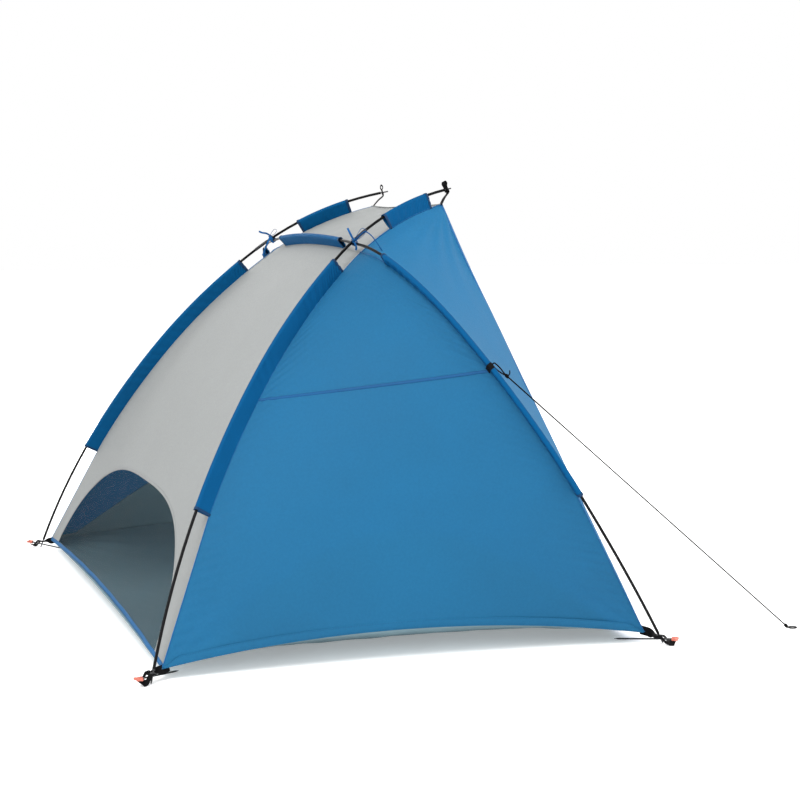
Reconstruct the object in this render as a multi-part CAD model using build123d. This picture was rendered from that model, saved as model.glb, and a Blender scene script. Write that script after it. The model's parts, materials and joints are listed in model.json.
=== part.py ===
from build123d import *
import math
import os

# A beach shelter tent: two rails run from the rear feet over a leaning hoop to an awning,
# and fabric panels hang from sleeves on the poles. Millimetres, +Z up, ground at Z = 0,
# the open front faces -Y, and the frame is symmetric about X = 0.

# Poles
FOOT_X, FOOT_Y = 1070.0, 733.0          # foot points of the poles, from the tent's middle
FOOT_Z = 15.0                           # height of each centreline's first point
POLE_R, POLE_BORE_R = 4.25, 2.25        # 8.5 mm fibreglass tube
SHOCK_CORD_R = 1.4
RAIL_YAW, RAIL_TILT = 72.4, 16.7        # each rail's plane: heading inward and lean, degrees
RAIL_HEADING, RAIL_STEP = 69.0, 474.0   # slope at the foot, and length of each arc
RAIL_TURNS = (-10.0, -9.0, -12.0, -26.0)
HOOP_LEAN = 33.1                        # the hoop's plane leans back from vertical
HOOP_HEADING, HOOP_STEP = 75.0, 543.0
HOOP_TURNS = (15.67, 31.4, 51.63, 6.3)  # foot to apex, then mirrored
HOOP_SEGMENTS = 7
RAIL_JOINTS = {"left": (505.0, 1014.0, 1522.0), "right": (480.0, 960.0, 1440.0)}
FERRULE_R, FERRULE_FIT, FERRULE_LENGTH = 5.2, 0.05, 50.0
RAIL_CROSS, HOOP_CROSS = 1485.0, 1690.0  # where rail and hoop pass, along each from its foot

# Pole pins
PIN_R, PIN_SPIGOT, COLLAR_LENGTH = 2.2, 9.0, 3.0
POLE_START = 22.0                       # the tubes begin this far along their centrelines
TIP_PIN_LENGTH = 26.0

# Sleeves and seams
SEAM = {"rail": 41.0, "hoop": 31.5}     # pole centreline to canopy seam
SLEEVE_BORE_R, SLEEVE_OUTER_R = 5.7, 6.7
SLEEVE_TAB, SEAM_GAP = 2.0, 3.0
RAIL_SLEEVES = {"rear": (474.0, 1383.0), "front": (1630.0, 1819.0)}
RIGHT_RAIL_SHIFT = -38.0                # the right rail's sleeves sit lower on their pole
HOOP_LEG_SLEEVE = (524.0, 1480.0)
HOOP_TOP_SLEEVE_HALF = 352.0
RAIL_END_SEAM = 1868.0                  # canopy corner at the awning tip

# Fabric
CLOTH = 1.6
EDGE_GAP = 2.0                          # a panel stops this short of its seam
MESH = 1.0
REAR_CORNER = (1050.0, 703.0, 30.0)
FRONT_CORNER = (1052.0, -690.0, 30.0)
SIDE_HEM_LIFT, SIDE_HEM_INSET = 54.0, 28.0
REAR_HEM_LIFT = 26.0
FRONT_HEM_INSET = 34.0
AWNING_SAG, WING_SAG = 12.0, 22.0
WING_REACH = 0.965                      # share of the way down to the front corner
BINDING_WIDTH, BINDING = 20.0, 3.0
TAPE_GAP = 1.5                          # between a tape and the panel above it
PANEL_LOW, PANEL_HIGH = 27.0, 0.965     # side panel: above the hem, and share of the rail
WINDOW_HALF, WINDOW_HIGH = 908.0, 389.0
WINDOW_P, WINDOW_Q = 3.1, 1.6           # superellipse exponents across and up
WINDOW_CUT = 20.0                       # reach of the cut to each side of the fabric
FLOOR_FLAT, FLOOR_RAMP = 700.0, 0.17    # half-width on the ground, and share of the depth
FLOOR_CURVE, FLOOR_SHARE = 1.5, 0.96    # that climbs to the rear; the climb's curve and top
WALL_RISE, WALL_EDGE = 0.228, 0.012     # floor wall: shares of the side panel's height
WALL_END, WALL_OFFSET = 0.06, 6.0       # left bare at both ends, and set in by

# Corner straps, eyelets and pegs, in a corner's own frame: u outward, v across, z up
EYELET_Z, STRAP = 24.0, 1.6
STRAP_PATH = ((-26, 29), (-13, EYELET_Z), (11, EYELET_Z), (31, 5.5), (41, 4), (48, 9))
STRAP_V = (-9.0, 17.0)
EYE_U, EYE_V = (13.0, 37.0), (-4.0, 12.0)
EYELET_HOLE_R, EYELET_BARREL_R, EYELET_FLANGE_R = 4.6, 5.4, 8.5
PEG_V, PEG_R = 8.0, 2.5
PEG_HEAD_UZ, PEG_TIP_UZ = (40.0, 19.6), (-134.0, 2.8)
PEG_POINT = 16.0
HEAD_R, HEAD_LENGTH, HEAD_BURIED, BAR_R, BAR_HALF = 6.0, 18.0, 14.0, 4.2, 11.0
TIP_STRAP = (-16.0, 27.0, 11.0)         # below and above the pole, and half-width

# Guy line
PATCH_S, PATCH_WIDTH, PATCH_R, PATCH_LEG = 961.0, 16.0, 8.3, 24.0
PATCH = 1.4
GUY_END = (-1012.0, -1172.0, 9.0)
CORD_R, KNOT_R, GUY_LOOP_LENGTH = 2.0, 5.5, 52.0
END_LOOP_R, LOOP_SPREAD = 13.0, 0.6

# Ties at the crossings
TIE_R, TIE, TIE_WIDTH = 11.2, 1.4, 8.0
TIE_TAIL = 62.0

LIFTED = (Align.CENTER, Align.CENTER, Align.MIN)


def blend(a, b, t):
    """The point a share t of the way from a to b."""
    return a + (b - a) * t


def mirrored(point):
    return Vector(-point.X, point.Y, point.Z)


class BentPole:
    """A pole bent in one plane as a row of tangent arcs of equal length."""

    def __init__(self, start, along, up, heading, step, turns):
        self.start, self.along, self.up = start, along, up
        self.heading, self.step, self.turns = heading, step, turns
        self.length = step * len(turns)
        self.normal = along.cross(up)
        self.side = math.copysign(1, turns[0])

    def at(self, s):
        """The centreline's point, its tangent and its inward normal at length s."""
        point, heading, left = self.start, math.radians(self.heading), s
        for turn in self.turns:
            run = min(left, self.step)
            bend = math.radians(turn) / self.step
            ahead = heading + bend * run
            point += self.along * ((math.sin(ahead) - math.sin(heading)) / bend)
            point += self.up * ((math.cos(heading) - math.cos(ahead)) / bend)
            heading, left = ahead, left - run
            if left <= 0:
                break
        tangent = self.along * math.cos(heading) + self.up * math.sin(heading)
        inward = self.up * math.cos(heading) - self.along * math.sin(heading)
        return point, tangent, inward * self.side

    def section(self, s):
        """The plane square to the pole at s, with its x direction inward."""
        point, tangent, inward = self.at(s)
        return Plane(origin=point, x_dir=inward, z_dir=tangent)

    def sweep(self, profile, first, last):
        """The profile carried along the pole from first to last, one arc at a time."""
        solid = None
        for index, turn in enumerate(self.turns):
            begin, end = max(first, index * self.step), min(last, (index + 1) * self.step)
            if end - begin < 0.01:
                continue
            point, _, inward = self.at(begin)
            radius = self.step / math.radians(abs(turn))
            axis = Axis(point + inward * radius, self.normal * self.side)
            angle = abs(turn) * (end - begin) / self.step
            piece = revolve(self.section(begin) * profile, axis, revolution_arc=angle)
            solid = piece if solid is None else solid + piece
        return solid

    def seam(self, s, offset):
        """The point of the canopy seam that the sleeve at s is sewn to."""
        point, _, inward = self.at(s)
        return point + inward * offset


def rail_pole():
    yaw, tilt = math.radians(RAIL_YAW), math.radians(RAIL_TILT)
    along = Vector(-math.cos(yaw), -math.sin(yaw), 0)
    aside = Vector(-math.sin(yaw), math.cos(yaw), 0)
    up = aside * math.sin(tilt) + Vector(0, 0, math.cos(tilt))
    start = Vector(FOOT_X, FOOT_Y, FOOT_Z)
    return BentPole(start, along, up, RAIL_HEADING, RAIL_STEP, RAIL_TURNS)


def hoop_pole():
    lean = math.radians(HOOP_LEAN)
    up = Vector(0, math.sin(lean), math.cos(lean))
    turns = HOOP_TURNS + HOOP_TURNS[::-1]
    start = Vector(FOOT_X, -FOOT_Y, FOOT_Z)
    return BentPole(start, Vector(1, 0, 0), up, HOOP_HEADING, HOOP_STEP, turns)


RAIL, HOOP = rail_pole(), hoop_pole()


def left_of(shape):
    """The mirror image of a piece of the right half."""
    return mirror(shape, about=Plane.YZ)


def both_sides(name, shape, nodes):
    nodes["right_" + name] = shape
    nodes["left_" + name] = left_of(shape)


# ---------------------------------------------------------------- poles

def ring(outer, inner):
    return Circle(outer) - Circle(inner)


def tube_segments(pole, cuts):
    """The tubes of a pole, from joint to joint."""
    tube = ring(POLE_R, POLE_BORE_R)
    return [pole.sweep(tube, a, b) for a, b in zip(cuts, cuts[1:])]


def ferrules(pole, joints):
    sleeve = ring(FERRULE_R, POLE_R + FERRULE_FIT)
    half = FERRULE_LENGTH / 2
    return [pole.sweep(sleeve, joint - half, joint + half) for joint in joints]


def shock_cord(pole, last):
    slack = PIN_SPIGOT + 6
    return pole.sweep(Circle(SHOCK_CORD_R), POLE_START + slack, last - slack)


def pole_pin(point, outward, length):
    """The steel pin in a pole's end, with its collar and spigot, pointing outward."""
    frame = Plane(origin=point, z_dir=outward)
    shaft = Pos(0, 0, -PIN_SPIGOT) * Cylinder(PIN_R, PIN_SPIGOT + length, align=LIFTED)
    collar = Cylinder(POLE_R, COLLAR_LENGTH, align=LIFTED)
    return frame * (shaft + collar + Pos(0, 0, length) * Sphere(PIN_R))


def foot_pin(pole):
    point, tangent, _ = pole.at(POLE_START)
    return pole_pin(point, -tangent, (point.Z - PIN_R) / tangent.Z)


def tip_pin(pole):
    point, tangent, _ = pole.at(pole.length)
    return pole_pin(point, tangent, TIP_PIN_LENGTH)


def add_poles(nodes):
    for side, turn_over in (("right", lambda shape: shape), ("left", left_of)):
        cuts = (POLE_START, *RAIL_JOINTS[side], RAIL.length)
        tubes = [turn_over(tube) for tube in tube_segments(RAIL, cuts)]
        nodes[side + "_rail_segments"] = Compound(tubes)
        sleeves = [turn_over(piece) for piece in ferrules(RAIL, RAIL_JOINTS[side])]
        nodes[side + "_rail_ferrules"] = Compound(sleeves)
        nodes[side + "_rail_shock_cord"] = turn_over(shock_cord(RAIL, RAIL.length))
    end = HOOP.length - POLE_START
    joints = [HOOP.length * i / HOOP_SEGMENTS for i in range(1, HOOP_SEGMENTS)]
    nodes["hoop_segments"] = Compound(tube_segments(HOOP, (POLE_START, *joints, end)))
    nodes["hoop_ferrules"] = Compound(ferrules(HOOP, joints))
    nodes["hoop_shock_cord"] = shock_cord(HOOP, end)
    pins = [foot_pin(RAIL), foot_pin(HOOP)]
    nodes["foot_pins"] = Compound(pins + [left_of(pin) for pin in pins])
    nodes["tip_pins"] = Compound([tip_pin(RAIL), left_of(tip_pin(RAIL))])


# ---------------------------------------------------------------- sleeves

def sleeve_profile(seam):
    """A channel round the pole with a flat tab that reaches in to the seam."""
    reach = seam - SEAM_GAP
    tab = Pos(reach / 2, 0) * Rectangle(reach, SLEEVE_TAB)
    return Circle(SLEEVE_OUTER_R) + tab - Circle(SLEEVE_BORE_R)


def add_sleeves(nodes):
    rail_profile, hoop_profile = sleeve_profile(SEAM["rail"]), sleeve_profile(SEAM["hoop"])
    for name, (first, last) in RAIL_SLEEVES.items():
        lower = RAIL.sweep(rail_profile, first + RIGHT_RAIL_SHIFT, last + RIGHT_RAIL_SHIFT)
        nodes["right_%s_sleeve" % name] = lower
        nodes["left_%s_sleeve" % name] = left_of(RAIL.sweep(rail_profile, first, last))
    leg = HOOP.sweep(hoop_profile, *HOOP_LEG_SLEEVE)
    both_sides("hoop_sleeve", leg, nodes)
    middle = HOOP.length / 2
    span = (middle - HOOP_TOP_SLEEVE_HALF, middle + HOOP_TOP_SLEEVE_HALF)
    nodes["top_hoop_sleeve"] = HOOP.sweep(hoop_profile, *span)


# ---------------------------------------------------------------- fabric

def cloth(grid, thickness=CLOTH):
    """A closed solid of the given thickness about a grid of points."""
    rows, columns = len(grid), len(grid[0])

    def normal(i, j):
        across = grid[i][min(j + 1, columns - 1)] - grid[i][max(j - 1, 0)]
        along = grid[min(i + 1, rows - 1)][j] - grid[max(i - 1, 0)][j]
        return across.cross(along).normalized() * (thickness / 2)

    cells = [(i, j) for i in range(rows) for j in range(columns)]
    over = {cell: grid[cell[0]][cell[1]] + normal(*cell) for cell in cells}
    under = {cell: grid[cell[0]][cell[1]] - normal(*cell) for cell in cells}
    faces = []

    def quad(a, b, c, d):
        for corners in ((a, b, c), (a, c, d)):
            faces.append(Face(Wire.make_polygon(corners)))

    for i in range(rows - 1):
        for j in range(columns - 1):
            corner = ((i, j), (i, j + 1), (i + 1, j + 1), (i + 1, j))
            quad(*[over[c] for c in corner])
            quad(*[under[c] for c in corner])
    rim = [(0, j) for j in range(columns)] + [(i, columns - 1) for i in range(1, rows)]
    rim += [(rows - 1, j) for j in range(columns - 2, -1, -1)]
    rim += [(i, 0) for i in range(rows - 2, -1, -1)]
    for a, b in zip(rim, rim[1:]):
        quad(over[a], over[b], under[b], under[a])
    return Solid(Shell(faces))


def spread(count):
    return [i / count for i in range(count + 1)]


def inset_share(length, v):
    """v from 0 to 1 along an edge of this length, kept EDGE_GAP away from both ends."""
    share = EDGE_GAP / length
    return share + v * (1 - 2 * share)


def corner_seam(pole, s, corner, first, offset):
    """The seam below a sleeve's first end is pulled straight from the tent's corner."""
    if s >= first:
        return pole.seam(s, offset)
    return blend(Vector(*corner), pole.seam(first, offset), s / first)


def rail_seam(s):
    return corner_seam(RAIL, s, REAR_CORNER, RAIL_SLEEVES["rear"][0], SEAM["rail"])


def hoop_seam(s):
    return corner_seam(HOOP, s, FRONT_CORNER, HOOP_LEG_SLEEVE[0], SEAM["hoop"])


def bow(t):
    """1 half-way along an edge and 0 at its ends."""
    return 1 - (2 * t - 1) ** 2


def side_hem(v):
    """The side panel's lower edge, from the rear corner at v = 0 to the front one at 1."""
    edge = blend(Vector(*REAR_CORNER), Vector(*FRONT_CORNER), v)
    return edge + Vector(-SIDE_HEM_INSET, 0, SIDE_HEM_LIFT) * bow(v)


def side_point(t, v):
    """A point of the side panel, t of the way up and v of the way from rail to hoop."""
    flat = blend(rail_seam(t * RAIL_CROSS), hoop_seam(t * HOOP_CROSS), v)
    straight_hem = blend(Vector(*REAR_CORNER), Vector(*FRONT_CORNER), v)
    return flat + (side_hem(v) - straight_hem) * (1 - t) ** 3


def side_panel():
    low = PANEL_LOW / RAIL_CROSS
    grid = []
    for t in spread(10):
        height = low + (PANEL_HIGH - low) * t
        width = (side_point(height, 1) - side_point(height, 0)).length
        grid.append([side_point(height, inset_share(width, v)) for v in spread(6)])
    return cloth(grid)


def floor_wall():
    """Floor fabric turned up inside the side panel, with an arched top edge."""
    inward = Vector(-WALL_OFFSET, 0, 0)
    low = (PANEL_LOW + 2) / RAIL_CROSS
    columns = [WALL_END + (1 - 2 * WALL_END) * v for v in spread(10)]
    grid = []
    for t in spread(3):
        row = []
        for v in columns:
            height = WALL_EDGE + WALL_RISE * bow(v)
            row.append(side_point(low + height * t, v) + inward)
        grid.append(row)
    return cloth(grid)


def roof_strip_up():
    """The direction up the flat rear strip, and its length up to the sleeves' first ends."""
    rise = rail_seam(RAIL_SLEEVES["rear"][0]) - Vector(*REAR_CORNER)
    rise = Vector(0, rise.Y, rise.Z)
    return rise.normalized(), rise.length


def rear_hem(u):
    """The rear edge of the roof panel at u, from -1 at the left corner to 1."""
    up, _ = roof_strip_up()
    base = Vector(u * REAR_CORNER[0], *REAR_CORNER[1:])
    return base + up * (REAR_HEM_LIFT * (1 - u * u))


def roof_crown():
    """How far the hoop lifts the roof's middle above the line between its two corners."""
    middle = HOOP.seam(HOOP.length / 2, SEAM["hoop"])
    corner = HOOP.seam(HOOP_CROSS, SEAM["hoop"])
    return Vector(0, middle.Y - corner.Y, middle.Z - corner.Z)


def roof_row(s, columns):
    """Points across the roof at length s along the rails."""
    edge = rail_seam(s)
    share = s / RAIL_CROSS if s < RAIL_CROSS else (RAIL.length - s) / (RAIL.length - RAIL_CROSS)
    lift = roof_crown() * max(0.0, share) ** 2.5
    half = edge.X - EDGE_GAP
    return [Vector(u * half, edge.Y, edge.Z) + lift * (1 - u * u) for u in columns]


def roof_panel():
    columns = [-1 + 2 * v for v in spread(8)]
    up, _ = roof_strip_up()
    first = RAIL_SLEEVES["rear"][0]
    hem = []
    for u in columns:
        hem.append(rear_hem(u) + up * (BINDING_WIDTH + TAPE_GAP) - Vector(u * EDGE_GAP, 0, 0))
    rows = [hem]
    stations = [first + (RAIL_CROSS - first) * t for t in spread(7)]
    stations += [RAIL_CROSS + (RAIL_END_SEAM - RAIL_CROSS) * t for t in spread(4)[1:]]
    edge = rail_seam(first)
    rows.append([Vector(u * (edge.X - EDGE_GAP), edge.Y, edge.Z) for u in columns])
    rows += [roof_row(s, columns) for s in stations[1:]]
    sag = Vector(0, AWNING_SAG, -AWNING_SAG / 2)
    rows[-1] = [p + sag * (1 - u * u) for p, u in zip(rows[-1], columns)]
    return cloth(rows)


def window_plane():
    up, _ = roof_strip_up()
    return Plane(origin=Vector(0, *REAR_CORNER[1:]), x_dir=(1, 0, 0), z_dir=Vector(1, 0, 0).cross(up))


def window_outline(shrink):
    """The arched window as a superellipse standing on the rear hem."""
    half, high = WINDOW_HALF - shrink, WINDOW_HIGH - shrink
    points = []
    for turn in spread(28):
        x = math.cos(math.pi * turn)
        height = (1 - abs(x) ** WINDOW_P) ** (1 / WINDOW_Q)
        points.append((half * x, high * height))
    return points


def window_prism(shrink):
    """The window's outline carried through the fabric, smaller all round by shrink."""
    outline = make_face(Polyline(*window_outline(shrink), close=True))
    return window_plane() * extrude(outline, WINDOW_CUT, both=True)


def roof_and_window():
    panel = roof_panel()
    opening = window_prism(0)
    up, length = roof_strip_up()
    columns = [-1 + 2 * v for v in spread(8)]
    low = [rear_hem(u) + up * (BINDING_WIDTH + TAPE_GAP) for u in columns]
    high = [Vector(u * REAR_CORNER[0], *REAR_CORNER[1:]) + up * (length - 2) for u in columns]
    mesh = cloth([low, high], MESH) & window_prism(1.5)
    return panel - opening, mesh


def wing_panel():
    """The awning's side: from the hoop forward to a free edge between tip and front foot."""
    top, toe = rail_seam(RAIL_END_SEAM), Vector(*FRONT_CORNER)
    corner = rail_seam(RAIL_CROSS)
    rows = []
    for t in [WING_REACH * share for share in spread(9)]:
        back = hoop_seam(HOOP_CROSS * (1 - t))
        ahead = blend(top, toe, t)
        ahead += (back - ahead).normalized() * (WING_SAG * bow(t) + EDGE_GAP * 2)
        below_roof = Vector(0, 0, -SEAM_GAP) * (1 - t)
        row = []
        for v in spread(5):
            crest = rail_seam(RAIL_CROSS + (RAIL_END_SEAM - RAIL_CROSS) * v) - blend(corner, top, v)
            along = inset_share((ahead - back).length, v)
            row.append(blend(back, ahead, along) + crest * (1 - t) ** 2 + below_roof)
        rows.append(row)
    return cloth(rows)


def floor_height(x, y):
    """The floor lies on the ground and climbs to the hems near its sides and rear."""
    depth = (REAR_CORNER[1] - y) / (REAR_CORNER[1] - FRONT_CORNER[1])
    side = max(0.0, (abs(x) - FLOOR_FLAT) / (REAR_CORNER[0] - FLOOR_FLAT))
    rear = max(0.0, 1 - depth / FLOOR_RAMP)
    side_lift = (REAR_CORNER[2] + SIDE_HEM_LIFT * bow(depth)) * side ** FLOOR_CURVE
    rear_lift = (REAR_CORNER[2] + REAR_HEM_LIFT) * rear ** FLOOR_CURVE
    return CLOTH / 2 + FLOOR_SHARE * max(side_lift, rear_lift)


def floor_sheet():
    grid = []
    for v in spread(10):
        y_edge = REAR_CORNER[1] - 14 + (FRONT_CORNER[1] - REAR_CORNER[1] + 20) * v
        half = side_hem(v).X - 12
        row = []
        for u in (-1, -0.9, -0.8, -0.68, -0.4, 0, 0.4, 0.68, 0.8, 0.9, 1):
            y = y_edge + FRONT_HEM_INSET * (1 - u * u) * v ** 4
            row.append(Vector(u * half, y, floor_height(u * half, y)))
        grid.append(row)
    return cloth(grid)


def side_binding():
    rise = (side_point(BINDING_WIDTH / RAIL_CROSS, 0.5) - side_hem(0.5)).normalized()
    columns = [0.02 + 0.96 * v for v in spread(12)]
    low = [side_hem(v) for v in columns]
    high = [side_hem(v) + rise * (BINDING_WIDTH - TAPE_GAP) for v in columns]
    return cloth([low, high], BINDING)


def rear_binding():
    up, _ = roof_strip_up()
    columns = [-0.97 + 1.94 * v for v in spread(14)]
    low = [rear_hem(u) for u in columns]
    high = [rear_hem(u) + up * (BINDING_WIDTH - TAPE_GAP) for u in columns]
    return cloth([low, high], BINDING)


def front_binding():
    """The tape along the floor's front edge."""
    columns = [-0.965 + 1.93 * v for v in spread(14)]
    rows = []
    for offset in (1.0, 1.0 + BINDING_WIDTH):
        row = []
        for u in columns:
            x = u * FRONT_CORNER[0]
            y = FRONT_CORNER[1] + FRONT_HEM_INSET * (1 - u * u) - offset
            row.append(Vector(x, y, floor_height(x, FRONT_CORNER[1]) + BINDING / 2 - CLOTH / 2))
        rows.append(row)
    return cloth(rows, BINDING)


def add_fabric(nodes):
    nodes["roof_panel"], nodes["window_mesh"] = roof_and_window()
    both_sides("side_panel", side_panel(), nodes)
    both_sides("floor_wall", floor_wall(), nodes)
    both_sides("awning_wing", wing_panel(), nodes)
    both_sides("hem_binding", side_binding(), nodes)
    nodes["rear_hem_binding"] = rear_binding()
    nodes["front_hem_binding"] = front_binding()
    nodes["floor"] = floor_sheet()


# ---------------------------------------------------------------- corners

def corner_frame(pole, outward):
    """The frame of a corner: on the ground below the eyelet, x outward and z up."""
    point, tangent, _ = pole.at(POLE_START)
    below = point - tangent * ((point.Z - EYELET_Z) / tangent.Z)
    return Plane(origin=(below.X, below.Y, 0), x_dir=outward, z_dir=(0, 0, 1))


CORNERS = {"rear": corner_frame(RAIL, (1, 1, 0)), "front": corner_frame(HOOP, (1, -1, 0))}


def slab(u_range, v_range, z_range):
    sizes = [b - a for a, b in (u_range, v_range, z_range)]
    middle = [(a + b) / 2 for a, b in (u_range, v_range, z_range)]
    return Pos(*middle) * Box(*sizes)


def strap():
    """A webbing strap with an eyelet hole for the pole pin and an eye for the peg."""
    outline = Polyline(*[(u, z) for u, z in STRAP_PATH])
    band = trace(outline, STRAP)
    low, high = STRAP_V
    sheet = Plane(origin=(0, high, 0), x_dir=(1, 0, 0), z_dir=(0, -1, 0))
    solid = sheet * extrude(band, high - low)
    solid -= slab(EYE_U, EYE_V, (-1, 40))
    return solid - Pos(0, 0, EYELET_Z) * Cylinder(EYELET_BARREL_R + 0.05, 10)


def eyelet(strap_thickness=STRAP):
    """A two-flange metal eyelet about the origin, with its barrel through the webbing."""
    gap = strap_thickness / 2 + 0.05
    barrel = Cylinder(EYELET_BARREL_R, 2 * gap)
    flange = Cylinder(EYELET_FLANGE_R, 0.6, align=LIFTED)
    body = barrel + Pos(0, 0, gap) * flange + Pos(0, 0, -gap - 0.6) * flange
    return body - Cylinder(EYELET_HOLE_R, 10)


def peg_frame():
    """The peg's own frame: origin at the head's inner end, z out along the shank."""
    (head_u, head_z), (tip_u, tip_z) = PEG_HEAD_UZ, PEG_TIP_UZ
    outward = Vector(head_u - tip_u, 0, head_z - tip_z)
    return Plane(origin=(head_u, PEG_V, head_z), x_dir=(0, 1, 0), z_dir=outward), outward.length


def peg_shank():
    frame, length = peg_frame()
    rod_length = length - PEG_POINT + HEAD_BURIED
    rod = Pos(0, 0, PEG_POINT - length) * Cylinder(PEG_R, rod_length, align=LIFTED)
    point = Pos(0, 0, -length) * Cone(0.6, PEG_R, PEG_POINT, align=LIFTED)
    return frame * (rod + point)


def peg_head():
    """A moulded T head: a barrel over the shank's end and a crossbar with round ends."""
    frame, _ = peg_frame()
    barrel = fillet(Cylinder(HEAD_R, HEAD_LENGTH, align=LIFTED).edges(), 1.5)
    bar = Rot(0, 90, 0) * Cylinder(BAR_R, 2 * BAR_HALF)
    ends = Pos(-BAR_HALF, 0, 0) * Sphere(BAR_R) + Pos(BAR_HALF, 0, 0) * Sphere(BAR_R)
    head = barrel + Pos(0, 0, HEAD_LENGTH - BAR_R) * (bar + ends)
    return frame * (head - Cylinder(PEG_R, HEAD_BURIED, align=LIFTED))


def tip_strap():
    """The strap that stands up across a rail's tip, with the pin through its eyelet."""
    point, tangent, inward = RAIL.at(RAIL.length)
    frame = Plane(origin=point + tangent * 9, x_dir=-inward, z_dir=tangent)
    below, above, half = TIP_STRAP
    web = slab((below, above), (-half, half), (-STRAP / 2, STRAP / 2))
    eye = slab((above - 12, above - 4), (-half + 4, half - 4), (-2, 2))
    hole = Cylinder(EYELET_BARREL_R + 0.05, 10)
    return frame * (web - eye - hole), frame * eyelet()


def add_corners(nodes):
    eyelets = []
    for name, frame in CORNERS.items():
        both_sides(name + "_strap", frame * strap(), nodes)
        both_sides(name + "_peg_shank", frame * peg_shank(), nodes)
        both_sides(name + "_peg_head", frame * peg_head(), nodes)
        eyelets.append(frame * Pos(0, 0, EYELET_Z) * eyelet())
    nodes["corner_eyelets"] = Compound(eyelets + [left_of(piece) for piece in eyelets])
    web, rivet = tip_strap()
    both_sides("tip_strap", web, nodes)
    nodes["tip_eyelets"] = Compound([rivet, left_of(rivet)])


# ---------------------------------------------------------------- guy line and ties

def guy_patch():
    """A webbing strap folded round the hoop's sleeve, with both legs sewn to it."""
    outer, inner = PATCH_R, PATCH_R - PATCH
    legs = Rectangle(PATCH_LEG, 2 * outer) - Rectangle(PATCH_LEG, 2 * inner)
    legs = Pos(PATCH_LEG / 2, 0) * legs
    bend = ring(outer, inner) - Pos(outer, 0) * Rectangle(2 * outer, 2 * outer)
    first = PATCH_S - PATCH_WIDTH / 2
    return HOOP.sweep(legs + bend, first, first + PATCH_WIDTH)


def guy_route():
    """The guy line's start at the patch, its knot and its end, on the left side."""
    point, _, _ = HOOP.at(PATCH_S)
    start = mirrored(point) + HOOP.normal * (PATCH_R + CORD_R + 0.4)
    end = Vector(*GUY_END)
    toward = (end - start).normalized()
    knot = start + toward * GUY_LOOP_LENGTH
    return start, knot, end, toward


def rod(a, b, radius):
    return Plane(origin=a, z_dir=b - a) * Cylinder(radius, (b - a).length, align=LIFTED)


def add_guy_line(nodes):
    both_sides("guy_patch", guy_patch(), nodes)
    start, knot, end, toward = guy_route()
    across = toward.cross(Vector(0, 0, 1)).normalized() * (CORD_R + LOOP_SPREAD)
    # The loop is flattened: two strands side by side that meet at the patch.
    loop = rod(start - across, start + across, CORD_R)
    for side in (across, -across):
        loop += rod(start + side, knot + side * 0.9, CORD_R) + Pos(*(start + side)) * Sphere(CORD_R)
    clear = KNOT_R + 0.1
    nodes["guy_loop"] = loop - Pos(*knot) * Sphere(clear)
    nodes["guy_knot"] = Pos(*knot) * Sphere(KNOT_R)
    first, last = knot + toward * clear, end - toward * clear
    nodes["guy_line"] = rod(first, last, CORD_R)
    nodes["guy_end_knot"] = Pos(*end) * Sphere(KNOT_R)
    flat = Vector(toward.X, toward.Y, 0).normalized()
    centre = end + flat * (KNOT_R + END_LOOP_R + CORD_R) - Vector(0, 0, end.Z - CORD_R - 0.3)
    end_ring = Plane(origin=centre, z_dir=(0, 0, 1)) * Torus(END_LOOP_R, CORD_R)
    nodes["guy_end_loop"] = end_ring - Pos(*end) * Sphere(clear)
    print("guy line: one straight run of %.0f mm, no bends" % (last - first).length)
    print("guy loop: bend radius %.1f mm; end loop %.1f mm" % (CORD_R + LOOP_SPREAD, END_LOOP_R))


def crossing_tie():
    """A tape tied round both poles where they cross, with its two tails."""
    rail_point, rail_way, _ = RAIL.at(RAIL_CROSS)
    hoop_point, hoop_way, _ = HOOP.at(HOOP_CROSS)
    middle = blend(rail_point, hoop_point, 0.5)
    way = (rail_way + hoop_way).normalized()
    outward = (rail_point - hoop_point).normalized()
    frame = Plane(origin=middle, x_dir=outward, z_dir=way)
    band = Pos(0, 0, -TIE_WIDTH / 2) * extrude(ring(TIE_R + TIE, TIE_R), TIE_WIDTH)
    width = (-TIE_WIDTH / 2, TIE_WIDTH / 2)
    knot = slab((TIE_R + 0.2, TIE_R + 9), (-9, 9), width)
    tails = slab((TIE_R + 3, TIE_R + 3 + TIE), (-TIE_TAIL / 2, TIE_TAIL / 2), width)
    return frame * (band + knot + tails)


# ---------------------------------------------------------------- the tent

def build():
    nodes = {}
    add_poles(nodes)
    add_sleeves(nodes)
    add_fabric(nodes)
    add_corners(nodes)
    add_guy_line(nodes)
    both_sides("crossing_tie", crossing_tie(), nodes)
    return nodes


os.makedirs("parts", exist_ok=True)
for node, shape in build().items():
    export_step(shape, "parts/%s.step" % node)
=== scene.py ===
import json
import math

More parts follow.
